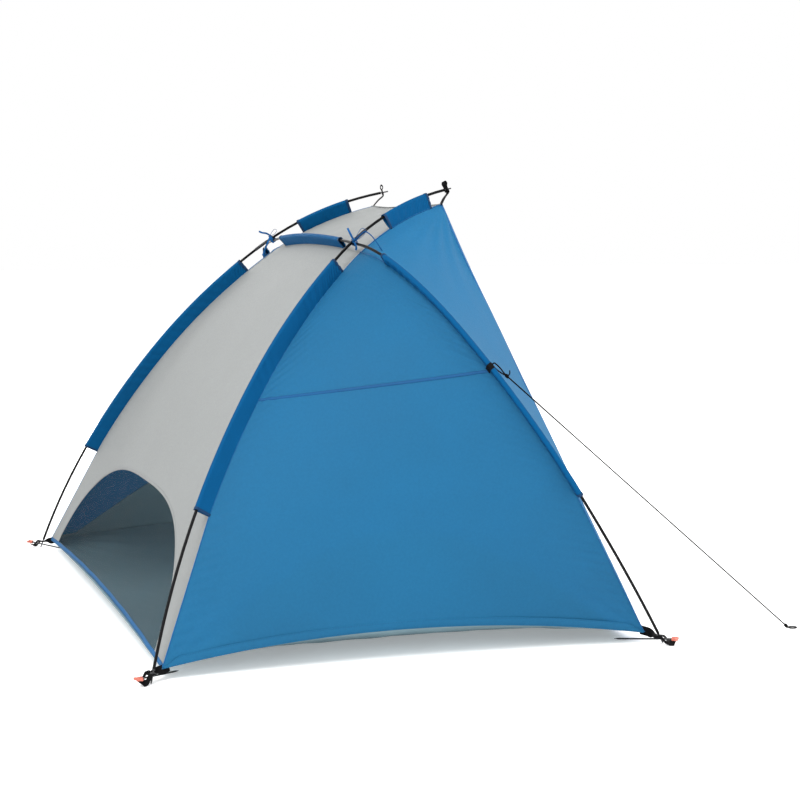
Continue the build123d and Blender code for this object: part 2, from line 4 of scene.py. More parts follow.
import bmesh
import bpy
import numpy as np
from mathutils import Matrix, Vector


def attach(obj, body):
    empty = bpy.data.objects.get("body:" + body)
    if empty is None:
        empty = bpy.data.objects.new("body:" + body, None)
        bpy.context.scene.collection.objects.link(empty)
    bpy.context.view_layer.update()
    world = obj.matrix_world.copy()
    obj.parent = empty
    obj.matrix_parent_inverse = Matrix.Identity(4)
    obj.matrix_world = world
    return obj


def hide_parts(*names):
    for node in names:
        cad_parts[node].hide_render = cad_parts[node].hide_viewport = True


# A beach shelter tent's looks around its CAD frame. Metres, +Z up, ground at Z = 0,
# open front towards -Y, the guy line on the left (-X).
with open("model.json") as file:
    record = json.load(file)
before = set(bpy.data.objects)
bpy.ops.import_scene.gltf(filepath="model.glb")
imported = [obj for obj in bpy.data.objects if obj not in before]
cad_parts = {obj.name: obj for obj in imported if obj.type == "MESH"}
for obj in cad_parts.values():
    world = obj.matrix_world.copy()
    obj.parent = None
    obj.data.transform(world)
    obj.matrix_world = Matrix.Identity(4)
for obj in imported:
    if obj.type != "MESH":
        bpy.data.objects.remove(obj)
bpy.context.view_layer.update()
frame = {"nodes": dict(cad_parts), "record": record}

# ---- the frame's poles

FOOT = (1.070, 0.733, 0.015)            # the poles' first points, right rear; mirrored elsewhere
RAIL_YAW, RAIL_TILT = 72.4, 16.7
RAIL_HEADING, RAIL_STEP = 69.0, 0.474
RAIL_TURNS = (-10.0, -9.0, -12.0, -26.0)
HOOP_LEAN = 33.1
HOOP_HEADING, HOOP_STEP = 75.0, 0.543
HOOP_TURNS = (15.67, 31.4, 51.63, 6.3)
RAIL_CROSS, HOOP_CROSS = 1.485, 1.690   # where rail and hoop pass, along each from its foot

RAIL_SEAM, HOOP_SEAM = 0.041, 0.0315    # pole centreline to canopy seam
REAR_SLEEVE = (0.474, 1.383)
FRONT_SLEEVE = (1.630, 1.819)
RIGHT_RAIL_SHIFT = -0.038
LEG_SLEEVE = (0.524, 1.480)
TOP_SLEEVE_HALF = 0.352
RAIL_END_SEAM = 1.868
REAR_CORNER = (1.050, 0.703, 0.030)
FRONT_CORNER = (1.052, -0.690, 0.030)


def vec(*values):
    return np.array(values, float)


class BentPole:
    """A pole's centreline: tangent arcs of equal length in one plane."""

    def __init__(self, start, along, up, heading, step, turns):
        self.start, self.along, self.up = start, along, up
        self.heading, self.step, self.turns = heading, step, turns
        self.length = step * len(turns)
        self.side = math.copysign(1, turns[0])
        self.normal = np.cross(along, up)

    def at(self, s):
        """The point, tangent and inward normal at length s."""
        point, heading, left = self.start.copy(), math.radians(self.heading), s
        for turn in self.turns:
            run = min(left, self.step)
            bend = math.radians(turn) / self.step
            ahead = heading + bend * run
            point += self.along * ((math.sin(ahead) - math.sin(heading)) / bend)
            point += self.up * ((math.cos(heading) - math.cos(ahead)) / bend)
            heading, left = ahead, left - run
            if left <= 0:
                break
        tangent = self.along * math.cos(heading) + self.up * math.sin(heading)
        inward = self.up * math.cos(heading) - self.along * math.sin(heading)
        return point, tangent, inward * self.side

    def seam(self, s, offset):
        point, _, inward = self.at(s)
        return point + inward * offset

    def frames(self, stations):
        """At each station: the point, the tangent, the inward normal and the way aside."""
        point, tangent, inward = (np.array(rows) for rows in zip(*map(self.at, stations)))
        return point, tangent, inward, np.cross(tangent, inward)


def rail_pole():
    yaw, tilt = math.radians(RAIL_YAW), math.radians(RAIL_TILT)
    along = vec(-math.cos(yaw), -math.sin(yaw), 0)
    aside = vec(-math.sin(yaw), math.cos(yaw), 0)
    up = aside * math.sin(tilt) + vec(0, 0, math.cos(tilt))
    return BentPole(vec(*FOOT), along, up, RAIL_HEADING, RAIL_STEP, RAIL_TURNS)


def hoop_pole():
    lean = math.radians(HOOP_LEAN)
    up = vec(0, math.sin(lean), math.cos(lean))
    turns = HOOP_TURNS + HOOP_TURNS[::-1]
    start = vec(FOOT[0], -FOOT[1], FOOT[2])
    return BentPole(start, vec(1, 0, 0), up, HOOP_HEADING, HOOP_STEP, turns)


RAIL, HOOP = rail_pole(), hoop_pole()
SIDES = {"left": vec(-1, 1, 1), "right": vec(1, 1, 1)}
Z = vec(0, 0, 1)


def corner_seam(pole, s, corner, first, offset):
    """The seam runs straight from the tent's corner to where the sleeve begins."""
    if s >= first:
        return pole.seam(s, offset)
    share = s / first
    return vec(*corner) * (1 - share) + pole.seam(first, offset) * share


def rail_seam(s):
    return corner_seam(RAIL, s, REAR_CORNER, REAR_SLEEVE[0], RAIL_SEAM)


def hoop_seam(s):
    return corner_seam(HOOP, s, FRONT_CORNER, LEG_SLEEVE[0], HOOP_SEAM)


def unit(vectors):
    return vectors / np.maximum(np.linalg.norm(vectors, axis=-1, keepdims=True), 1e-12)


def lines(function, values):
    """The function's point at each value, one row each."""
    return np.array([function(v) for v in values])


def bow(t):
    """1 half-way along an edge and 0 at its ends."""
    return 1 - (2 * t - 1) ** 2


def smooth(t):
    t = np.clip(t, 0, 1)
    return t * t * (3 - 2 * t)


def run_along(path):
    """How far along a path of points each of them is."""
    return np.concatenate([[0], np.cumsum(np.linalg.norm(np.diff(path, axis=0), axis=1))])


def spaced(count, crowd):
    """0 to 1 in count steps, crowded towards both ends by a share of a cosine spacing."""
    t = np.linspace(0, 1, count + 1)
    return (1 - crowd) * t + crowd * (0.5 - 0.5 * np.cos(math.pi * t))


# ---- meshes

CLOTH = 0.0009                           # the canopy cloth's thickness
PIECES = []


def new_object(name, data):
    made = bpy.data.objects.new(name, data)
    bpy.context.scene.collection.objects.link(made)
    return made


def new_piece(name, data):
    PIECES.append(new_object(name, data))
    return PIECES[-1]


def mesh_piece(name, points, faces, material, uvs, thickness=0):
    """A smooth-shaded mesh piece, uvs a pair for each point, in metres of cloth.

    With a thickness it is a sheet, made a closed shell about its middle.
    """
    mesh = bpy.data.meshes.new(name)
    mesh.from_pydata(np.reshape(points, (-1, 3)).tolist(), [], faces)
    mesh.polygons.foreach_set("use_smooth", [True] * len(mesh.polygons))
    corners = np.zeros(len(mesh.loops), int)
    mesh.loops.foreach_get("vertex_index", corners)
    layer = mesh.uv_layers.new(name="cloth")
    layer.data.foreach_set("uv", np.reshape(uvs, (-1, 2))[corners].ravel())
    mesh.materials.append(material)
    mesh.update()
    piece = new_piece(name, mesh)
    if thickness:
        shell = piece.modifiers.new("thickness", "SOLIDIFY")
        shell.thickness, shell.offset, shell.use_even_offset = thickness, 0, False
    return piece


def stands(piece, slot, *nodes):
    """Hides the CAD nodes whose place the piece takes, and returns the piece. The slot is not used."""
    if nodes:
        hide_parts(*nodes)
    return piece


def edit_mesh(piece, change):
    made = bmesh.new()
    made.from_mesh(piece.data)
    change(made)
    made.to_mesh(piece.data)
    made.free()


def grid_faces(rows, columns, closed=False, first=0):
    """The quads of a grid of points, closed round its columns where asked."""
    faces = []
    for i in range(first, first + (rows - 1) * columns, columns):
        for j in range(columns if closed else columns - 1):
            k = (j + 1) % columns
            faces.append((i + j, i + k, i + columns + k, i + columns + j))
    return faces


def normals(grid):
    return unit(np.cross(np.gradient(grid, axis=1), np.gradient(grid, axis=0)))


def cloth_size(grid):
    """Each point's place on the flat cloth, as metres across and along."""
    across = np.array([run_along(row) for row in grid])
    along = np.array([run_along(column) for column in grid.transpose(1, 0, 2)]).T
    return across - across[:, -1:] / 2, along


def sheet_piece(name, grid, material, thickness=CLOTH, uvs=None):
    """A sheet of cloth from a grid of points."""
    if uvs is None:
        uvs = np.stack(cloth_size(grid), axis=-1)
    return mesh_piece(name, grid, grid_faces(*grid.shape[:2]), material, uvs, thickness)


def pairs(a, b):
    return np.stack(np.broadcast_arrays(a, b), axis=-1)


def undulation(x, y, seed, size, count=7):
    """Soft waves of about the given size over a cloth, from -1 to 1, the same each run."""
    random = np.random.default_rng(seed)
    total = np.zeros(np.broadcast(x, y).shape)
    for _ in range(count):
        angle, phase = random.uniform(0, math.pi), random.uniform(0, 2 * math.pi)
        turn = 2 * math.pi / (size * random.uniform(0.7, 1.6))
        total += np.sin((x * math.cos(angle) + y * math.sin(angle)) * turn + phase)
    return total / count * 1.6


def pucker(distance, run, seed, reach=0.03, pitch=0.034):
    """Gathers square to a stitched seam: 0 on it, largest at reach and gone beyond."""
    share = distance / reach
    drift = undulation(run, 0, seed, 0.32) * 2.2
    size = 0.55 + 0.45 * undulation(run, 0, seed + 1, 0.21)
    return share * np.exp(1 - share) * np.sin(run * 2 * math.pi / pitch + drift) * size


def fan(x, y, centre, seed, reach, folds):
    """Pulled folds that radiate from a point under tension."""
    dx, dy = x - centre[0], y - centre[1]
    far, angle = np.hypot(dx, dy), np.arctan2(dy, dx)
    random = np.random.default_rng(seed)
    wave = np.sin(angle * folds + random.uniform(0, 6) + 0.8 * np.sin(angle * 3 + seed))
    return wave * smooth(far / 0.07) * np.exp(-far / reach) * np.minimum(1, far / 0.16)


# ---- materials

class Look:
    """A material being built: fixed sockets set at once, others linked by surface()."""

    def __init__(self, name, **fixed):
        self.made = bpy.data.materials.new(name)
        self.made.use_nodes = True
        self.tree = self.made.node_tree
        self.shader = self.tree.nodes["Principled BSDF"]
        place = self.tree.nodes.new("ShaderNodeTexCoord")
        self.solid, self.flat = place.outputs["Object"], place.outputs["UV"]
        for socket, value in fixed.items():
            self.shader.inputs[socket.replace("_", " ")].default_value = value

    def node(self, kind, operation=None, **sockets):
        """A node with each named socket set to a value or linked to an output."""
        node = self.tree.nodes.new("ShaderNode" + kind)
        if operation:
            node.operation = operation
        for name, value in sockets.items():
            self.feed(node.inputs[name.replace("_", " ")], value)
        return node

    def feed(self, socket, value):
        if isinstance(value, bpy.types.NodeSocket):
            self.tree.links.new(value, socket)
        else:
            socket.default_value = value

    def surface(self, **sockets):
        """Links outputs to the shader's named sockets."""
        for name, value in sockets.items():
            self.tree.links.new(value, self.shader.inputs[name.replace("_", " ")])

    def maths(self, operation, *values):
        node = self.node("Math", operation)
        for socket, value in zip(node.inputs, values):
            self.feed(socket, value)
        return node.outputs[0]

    def noise(self, scale, detail, roughness=0.55):
        node = self.node("TexNoise", Vector=self.solid, Scale=scale, Detail=detail, Roughness=roughness)
        return node.outputs["Fac"]

    def remap(self, value, low, high, source=(0.3, 0.7)):
        return self.node("MapRange", Value=value, From_Min=source[0], From_Max=source[1],
                         To_Min=low, To_Max=high).outputs["Result"]

    def tinted(self, colour, factor):
        """The colour times a factor that varies over the surface."""
        node = self.node("VectorMath", "SCALE", Scale=factor)
        node.inputs[0].default_value = colour
        return node.outputs[0]

    def bump(self, height, distance, strength=1.0, **below):
        return self.node("Bump", Height=height, Distance=distance, Strength=strength,
                         **below).outputs["Normal"]

    def weave(self, pitch, solid=False):
        """Threads over and under, as a height from 0 to 1: pitch is one thread's width."""
        split = self.node("SeparateXYZ", Vector=self.solid if solid else self.flat)
        waves = [self.maths("SINE", self.maths("MULTIPLY", split.outputs[axis], math.pi / pitch))
                 for axis in (0, 1)]
        crossed = self.maths("MULTIPLY", *waves)
        rounded = self.maths("MAXIMUM", *(self.maths("ABSOLUTE", wave) for wave in waves))
        half = self.maths("MULTIPLY_ADD", crossed, 0.35)
        return self.maths("ADD", half, self.maths("MULTIPLY", rounded, 0.5))

    def mixed(self, operation, patterns, rows):
        """Patterns put together: each row is a pattern's number, low, high and source range."""
        total = None
        for number, *span in rows:
            part = self.remap(patterns[number], *span)
            total = part if total is None else self.maths(operation, total, part)
        return total


WHOLE = (0, 1)                           # the source range of a weave


def cloth_material(name, colour, through, pitch=0.0007, gloss=0.22, fade=0.10):
    """Coated polyester: fine weave, faint uneven dye and creases, and some light through it."""
    look = Look(name, Sheen_Weight=0.008, Sheen_Roughness=0.4, Specular_IOR_Level=gloss)
    patterns = look.noise(2.6, 4), look.noise(130, 2), look.weave(pitch)
    dye, _, threads = patterns
    # The weave's row paints shade on the low threads and light on the high ones; the other two rows vary
    # at random.
    tone = ((0, 1 - fade, 1 + fade), (1, 0.97, 1.03), (2, 0.94, 1.05, WHOLE))
    tint = look.tinted(colour, look.mixed("MULTIPLY", patterns, tone))
    relief = look.bump(look.noise(14, 5, 0.5), 0.0035, 0.35, Normal=look.bump(threads, 0.00012))
    look.surface(Base_Color=tint, Roughness=look.remap(dye, 0.62, 0.74), Normal=relief)
    glow = look.node("BsdfTranslucent", Color=tint, Normal=relief)
    mix = look.node("MixShader", Fac=through)
    look.tree.links.new(look.shader.outputs[0], mix.inputs[1])
    look.tree.links.new(glow.outputs[0], mix.inputs[2])
    look.tree.links.new(mix.outputs[0], look.tree.nodes["Material Output"].inputs["Surface"])
    return look.made


def patterned(name, colour, patterns, tone, rough, relief=None, alpha=None, **fixed):
    """A material of two patterns or one, each a weave or a noise.

    tone, rough and alpha hold rows for mixed(); relief is a pattern's number, depth and strength.
    """
    look = Look(name, **fixed)
    makers = {"weave": look.weave, "noise": look.noise}
    patterns = [makers[kind](*values) for kind, *values in patterns]
    look.surface(Base_Color=look.tinted(colour, look.mixed("MULTIPLY", patterns, tone)),
                 Roughness=look.mixed("ADD", patterns, rough))
    if relief:
        look.surface(Normal=look.bump(patterns[relief[0]], *relief[1:]))
    if alpha:
        look.surface(Alpha=look.mixed("ADD", patterns, alpha))
    return look.made


def webbing_material(name, colour, pitch):
    """Tape woven in ribs, with painted light on its high threads, painted shade between them and uneven
    random patches.
    """
    # The weave's row paints shade on the low threads and light on the high ones.
    return patterned(name, colour, (("weave", pitch), ("noise", 45, 4)),
                     ((0, 0.6, 1.45, WHOLE), (1, 0.75, 1.5)), ((1, 0.6, 0.82),), (0, 0.0005, 0.9),
                     Specular_IOR_Level=0.08)


def braid_material(name, colour, pitch):
    """Braided cord: strands that cross on the slant, with painted shade between them and painted light on
    their crowns.
    """
    # The weave's row paints shade on the low strands and light on the high ones.
    return patterned(name, colour, (("weave", pitch, True), ("noise", 300, 3)),
                     ((0, 0.55, 1.4, WHOLE), (1, 0.8, 1.3)), ((1, 0.6, 0.8),), (0, 0.0004),
                     Specular_IOR_Level=0.08)


GREY = cloth_material("grey_cloth", (0.294, 0.306, 0.304), 0.20, fade=0.03)
BLUE = cloth_material("blue_cloth", (0.0175, 0.172, 0.350), 0.44, fade=0.05)
LIGHT_BLUE = cloth_material("wing_cloth", (0.027, 0.200, 0.400), 0.42, gloss=0.12, fade=0.04)
SLEEVE_BLUE = cloth_material("sleeve_cloth", (0.0012, 0.068, 0.184), 0.04, gloss=0.05)
EDGE_BLUE = cloth_material("edge_tape", (0.008, 0.095, 0.245), 0.04, pitch=0.0011)
SEAM_BLUE = cloth_material("seam_tape", (0.004, 0.070, 0.19), 0.04, pitch=0.0011)
NAVY = cloth_material("end_tape", (0.003, 0.030, 0.085), 0.02, pitch=0.0011)
FLOOR_GREY = cloth_material("floor_cloth", (0.135, 0.212, 0.242), 0.02, fade=0.12)
THREAD = cloth_material("blue_thread", (0.004, 0.045, 0.13), 0.0, pitch=0.0004)
GREY_THREAD = cloth_material("grey_thread", (0.20, 0.21, 0.21), 0.0, pitch=0.0004)
WEBBING = webbing_material("black_webbing", (0.0024, 0.0024, 0.0028), 0.0016)
TIE_BLUE = webbing_material("blue_tape", (0.006, 0.055, 0.16), 0.0009)
CORD = braid_material("black_cord", (0.0025, 0.0025, 0.0025), 0.0011)
ELASTIC = braid_material("white_elastic", (0.62, 0.62, 0.60), 0.0007)
# Insect mesh: dark threads with more hole than thread.
MESH = patterned("insect_mesh", (0.007, 0.020, 0.028), (("weave", 0.0011), ("noise", 9, 3)),
                 ((1, 0.8, 1.25),), ((1, 0.6, 0.8),), alpha=((0, 0.18, 0.28, WHOLE),),
                 Specular_IOR_Level=0.1)
# Black pultruded fibreglass: faint strands and rubbed patches.
FIBREGLASS = patterned("black_fibreglass", (0.0022, 0.0022, 0.0025),
                       (("noise", 420, 3), ("noise", 22, 4)), ((1, 0.8, 1.8),),
                       ((1, 0.30, 0.48), (0, -0.04, 0.06)), (0, 0.00008), Specular_IOR_Level=0.09)
# Drawn steel, tarnished in patches.
STEEL = patterned("steel", (0.060, 0.060, 0.064), (("noise", 260, 3), ("noise", 60, 4)),
                  ((1, 0.82, 1.1),), ((1, 0.34, 0.50), (0, -0.03, 0.05)), (0, 0.00006), Metallic=1.0)
# Black coated steel, scuffed through to a lighter grey in small patches.
PEG_STEEL = patterned("peg_steel", (0.020, 0.020, 0.021), (("noise", 90, 5, 0.65),),
                      ((0, 0.7, 2.2, (0.4, 0.72)),), ((0, 0.35, 0.60),), (0, 0.0001))
# Moulded plastic with a fine spark-eroded grain and dirty patches.
PEG_PLASTIC = patterned("peg_plastic", (0.53, 0.135, 0.090), (("noise", 900, 2), ("noise", 70, 4)),
                        ((1, 0.82, 1.08),), ((1, 0.3, 0.5),), (0, 0.00005), Subsurface_Weight=0.08,
                        Subsurface_Radius=(0.004, 0.002, 0.001))

SLOT_MATERIALS = {
    "fibreglass": FIBREGLASS, "steel": STEEL, "elastic": ELASTIC,
    "peg_steel": PEG_STEEL, "peg_plastic": PEG_PLASTIC, "grey_cloth": GREY, "blue_cloth": BLUE,
    "light_blue_cloth": LIGHT_BLUE, "sleeve_cloth": SLEEVE_BLUE, "floor_cloth": FLOOR_GREY,
    "mesh": MESH, "binding": EDGE_BLUE, "webbing": WEBBING, "cord": CORD, "tie_tape": TIE_BLUE,
}


def paint_cad_nodes():
    for part in frame["record"]["subparts"]:
        for slot in frame["nodes"][part["node"]].material_slots:
            slot.material = SLOT_MATERIALS[part["material_slot"]]


# ---- stitches and tapes

STITCH, STITCH_GAP, STITCH_R = 0.0032, 0.0014, 0.00045
TAPE_ROUNDS = 3                          # facets round each of a tape's two edges
EDGE_TAPE, HEM_TAPE = 0.0024, 0.0026     # their thickness


def stitch_row(path, facing):
    """Small raised stitches along a path of points: vertices and faces."""
    length = run_along(path)
    starts = np.arange(STITCH_GAP, length[-1] - STITCH, STITCH + STITCH_GAP)

    def place(at, values):
        return np.stack([np.interp(at, length, values[:, k]) for k in range(3)], axis=-1)

    points, faces = [], []
    for a, b, n in zip(place(starts, path), place(starts + STITCH, path), unit(place(starts, facing))):
        across, base, middle = unit(np.cross(b - a, n)) * STITCH_R, len(points), (a + b) / 2
        points += [a - n * STITCH_R, b - n * STITCH_R, middle + across, middle - across,
                   middle + n * STITCH_R * 1.3]
        faces += [tuple(base + k for k in corners) for corners in
                  ((0, 2, 4), (0, 4, 3), (1, 4, 2), (1, 3, 4), (0, 3, 1, 2))]
    return points, faces


def stitching(name, rows, thread):
    """One piece for several rows of stitches, each a (path, facing) pair."""
    points, faces = [], []
    for path, facing in rows:
        more, corners = stitch_row(path, facing)
        faces += [tuple(i + len(points) for i in face) for face in corners]
        points += more
    return mesh_piece(name, points, faces, thread, np.asarray(points)[:, :2])


def stitches_on(name, path, across, face, gaps, proud, side=1, thread=THREAD):
    """Rows of stitches along a tape: each is a gap across from its middle, and stands proud."""
    facing = np.broadcast_to(face * side, path.shape)
    rows = [((path + across * gap + face * proud) * side, facing) for gap in gaps]
    return stitching(name, rows, thread)


def tape(name, path, across, facing, width, thickness, cloth):
    """A flat tape along a path: across and facing are unit vectors at its points.

    The width is one number, or one for each point.
    """
    lift = thickness / 2
    half = np.broadcast_to(np.asarray(width, float) / 2 - lift, len(path))[:, None]
    turn = math.pi * np.concatenate([np.linspace(-0.5, 0.5, TAPE_ROUNDS + 1),
                                     np.linspace(0.5, 1.5, TAPE_ROUNDS + 1)])
    sideways = half * np.repeat([1.0, -1.0], TAPE_ROUNDS + 1) + lift * np.cos(turn)
    outward = np.broadcast_to(facing, path.shape)[:, None] * (lift * np.sin(turn))[:, None]
    rings = path[:, None] + across[:, None] * sideways[..., None] + outward
    rows, columns = rings.shape[:2]
    faces = grid_faces(rows, columns, closed=True)
    faces.append(tuple(range(columns - 1, -1, -1)))
    faces.append(tuple(range((rows - 1) * columns, rows * columns)))
    return mesh_piece(name, rings, faces, cloth, pairs(sideways, run_along(path)[:, None]))


def tangents(path):
    return unit(np.gradient(path, axis=0))


def piping(name, path, cloth, slot):
    """A thin round seam allowance along a path."""
    along = tangents(path)
    aside = unit(np.cross(along, unit(vec(0.31, 0.17, 0.93))))
    stands(tape(name, path, aside, np.cross(aside, along), SEAM_R * 2, SEAM_R * 1.6, cloth), slot)


# ---- sleeves

SLEEVE_R, SLEEVE_CLOTH = 0.0070, 0.0008
END_HEM = 0.007
END_REACH = 0.110                        # how far the crushed gathers reach from an upper end
GATHER, SLACK, CRUSH = 0.0011, 0.0012, 0.0018
GATHER_PITCH, CRUSH_PITCH = 0.038, 0.0125
SLEEVE_STEP, HEM_STEP, HEM_SWELL = 0.0026, 0.0015, 0.0009


def sleeve_profile(seam):
    """A folded strip round the pole, from the seam out round it and back."""
    tip, tangent = seam + 0.002, math.acos(SLEEVE_R / seam)
    arc = [(SLEEVE_R * math.cos(a), SLEEVE_R * math.sin(a))
           for a in np.linspace(tangent, 2 * math.pi - tangent, 26)]
    flank = [(tip + (arc[0][0] - tip) * t, 0.0008 + (arc[0][1] - 0.0008) * t ** 0.8)
             for t in np.linspace(0, 1, 12)[:-1]]
    return np.array(flank + arc + [(x, -y) for x, y in flank[::-1]])


def sleeve_points(pole, profile, seam, first, last, step, seed, span_top, ruffle, swell=0.0):
    """The sleeve's rings, gathered square to the seam and more so near its upper end."""
    stations = np.linspace(first, last, max(2, int((last - first) / step)))
    centre, _, inward, side = (rows[:, None] for rows in pole.frames(stations))
    deep, face, run = profile[None, :, 0], np.sign(profile[:, 1])[None], stations[:, None]
    share = np.clip(deep / seam, -0.2, 1)
    loose = np.minimum(1, (1.02 - share) * 3) * smooth((share + 0.15) / 0.4)
    slant = run + 0.35 * deep * face
    drift = undulation(slant, 0, seed, 0.27) * 2.5
    wave = np.sin(slant * 2 * math.pi / GATHER_PITCH + drift + face)
    wave = wave * (0.5 + 0.5 * undulation(run, 0, seed + 5, 0.33))
    slack = undulation(run, face * 0.1, seed + 9, 0.19)
    out = (GATHER * ruffle * wave + SLACK * slack) * loose + swell
    crushed = np.exp(-((span_top - run) / END_REACH) ** 2) * loose
    crush_wave = np.sin((run + 0.8 * deep) * 2 * math.pi / CRUSH_PITCH)
    out = out + CRUSH * ruffle * crushed * crush_wave
    aside = profile[None, :, 1] + face * out
    return centre + inward * (deep - swell * (share < 0.05))[..., None] + side * aside[..., None]


def add_sleeve(name, pole, seam, span, side, seed, ruffle=1.0):
    """A sleeve with its two hemmed ends and its stitches."""
    profile = sleeve_profile(seam)
    girth = run_along(profile)

    def cloth_round(piece_name, cloth, first, last, step, swell=0.0):
        rings = sleeve_points(pole, profile, seam, first, last, step, seed, span[1], ruffle, swell)
        run = run_along(rings[:, 0])
        piece = mesh_piece(piece_name, rings * side, grid_faces(*rings.shape[:2]), cloth,
                           pairs(girth[None], run[:, None]), SLEEVE_CLOTH)
        return stands(piece, "sleeve_cloth"), rings, run[-1]

    sleeve, points, length = cloth_round(name + "_sleeve_cloth", SLEEVE_BLUE, *span, SLEEVE_STEP)
    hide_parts(name + "_sleeve")
    low, high = span
    extra = [cloth_round("%s_sleeve_%s_hem" % (name, end), NAVY, *ends, HEM_STEP, HEM_SWELL)[0]
             for end, *ends in (("low", low - 0.001, low + END_HEM),
                                ("high", high - END_HEM, high + 0.001))]
    rows = []
    for column in (1, 4, -2, -5):
        around = unit(points[:, column] - points[:, -1 - column])
        rows.append((points[:, column] * side, around * side))
    extra.append(stitching(name + "_sleeve_stitches", rows, THREAD))


def add_sleeves():
    for index, (name, side) in enumerate(SIDES.items()):
        shift = RIGHT_RAIL_SHIFT if name == "right" else 0
        rear, front = (tuple(s + shift for s in span) for span in (REAR_SLEEVE, FRONT_SLEEVE))
        add_sleeve(name + "_rear", RAIL, RAIL_SEAM, rear, side, 11 + index)
        add_sleeve(name + "_front", RAIL, RAIL_SEAM, front, side, 31 + index, 0.6)
        add_sleeve(name + "_hoop", HOOP, HOOP_SEAM, LEG_SLEEVE, side, 51 + index, 1.5)
    middle = HOOP.length / 2
    span = (middle - TOP_SLEEVE_HALF, middle + TOP_SLEEVE_HALF)
    add_sleeve("top_hoop", HOOP, HOOP_SEAM, span, SIDES["right"], 71, 0.6)


# ---- side panels

SIDE_HEM_LIFT, SIDE_HEM_INSET, HEM = 0.054, 0.028, 0.024
HEM_BOW = vec(-SIDE_HEM_INSET, 0, SIDE_HEM_LIFT)
PATCH_S = 0.961                          # guy patch, along the hoop from its foot
PANEL_SEAM = (0.857, 0.957)              # the panel's own seam: along the rail, along the hoop


def side_hem(v):
    """The side panel's lower edge, from the rear corner at 0 to the front one at 1."""
    return vec(*REAR_CORNER) * (1 - v) + vec(*FRONT_CORNER) * v + HEM_BOW * bow(v)


def side_surface(t, v):
    """The grid of the side panel: t up from the hem, v from the rail to the hoop."""
    rear = lines(rail_seam, t * RAIL_CROSS)[:, None]
    front = lines(hoop_seam, t * HOOP_CROSS)[:, None]
    across = v[None, :, None]
    return rear * (1 - across) + front * across + np.outer((1 - t) ** 3, bow(v))[..., None] * HEM_BOW


def on_cloth(grid, t, v, at_t, at_v):
    """Points of a shaped cloth between the points of its grid."""
    row, column = np.interp(at_t, t, np.arange(len(t))), np.interp(at_v, v, np.arange(len(v)))
    i = np.minimum(row.astype(int), len(t) - 2)
    j = np.minimum(column.astype(int), len(v) - 2)
    a, b = (row - i)[:, None], (column - j)[:, None]
    return ((grid[i, j] * (1 - b) + grid[i, j + 1] * b) * (1 - a)
            + (grid[i + 1, j] * (1 - b) + grid[i + 1, j + 1] * b) * a)


def side_lift(x, y, t, v, width):
    """How far the side panel's cloth stands off its smooth surface, outward."""
    high = y.max()
    lift = 0.0045 * undulation(x, y, 3, 0.80)
    lift *= np.minimum(1, 4 * bow(v)[None] * (1 - t)[:, None] ** 0.3)
    hoop_patch = (x[len(t) // 2, -1] + 0.03, high * 0.55)
    for seed, centre, size, reach, folds in (
            (5, (x[0, 0], 0.0), 0.0026, 0.22, 15), (6, (x[0, -1], 0.0), 0.0024, 0.20, 15),
            (7, (0.0, high), 0.0018, 0.18, 13), (8, hoop_patch, 0.0018, 0.16, 13)):
        lift += size * fan(x, y, centre, seed, reach, folds)
    rear_gap, front_gap = v[None] * width[:, None], (1 - v)[None] * width[:, None]
    wide = smooth(width / 0.45)[:, None]
    lift += (0.0015 * pucker(rear_gap, y, 21) + 0.0014 * pucker(front_gap, y, 24)) * wide
    edges = np.minimum(1, np.minimum(rear_gap, front_gap) / 0.012)
    return lift * edges * smooth(t / 0.02)[:, None]


def add_side_panels():
    t = np.concatenate([np.linspace(0, 0.96, 260), np.linspace(0.9625, 0.9985, 10)])
    v = spaced(110, 0.55)
    base = side_surface(t, v)
    width = np.linalg.norm(base[:, -1] - base[:, 0], axis=1)
    outward = normals(base)
    outward *= np.sign(outward[80, 50, 0])
    shaped = base + outward * side_lift(*cloth_size(base), t, v, width)[..., None]
    seam_face = unit(outward[120, 55])
    for name, side in SIDES.items():
        panel = sheet_piece(name + "_side_cloth", shaped * side, BLUE)
        stands(panel, "blue_cloth", name + "_side_panel")
        extra = [*add_side_hem(name, side, shaped, t, v),
                 *add_panel_seam(name, side, shaped, t, v, seam_face)]


def add_panel_seam(name, side, shaped, t, v, face):
    """A nearly straight flat-felled seam, from the sleeve to the guy patch: a doubled strip."""
    at = np.linspace(0, 1, 160)
    low, high = PANEL_SEAM[0] / RAIL_CROSS, PANEL_SEAM[1] / HOOP_CROSS
    seam = on_cloth(shaped, t, v, low + (high - low) * at - 0.006 * bow(at), at)
    across = unit(np.cross(tangents(seam), face))
    path = seam + face * 0.0012
    strip = stands(tape(name + "_panel_seam", path * side, across * side, face * side,
                        0.009, 0.0018, SEAM_BLUE), "blue_cloth")
    gaps = (-0.0028, 0.0028)
    return [strip, stitches_on(name + "_panel_stitches", path, across, face, gaps, 0.0009, side)]


def hem_frame(path, rise, axis):
    """For a hem path: up the cloth, and off the cloth towards an axis's positive side."""
    along = tangents(path)
    off = unit(np.cross(along, rise))
    up = unit(np.cross(off, along))
    return up, off * np.sign(off[:, axis:axis + 1])


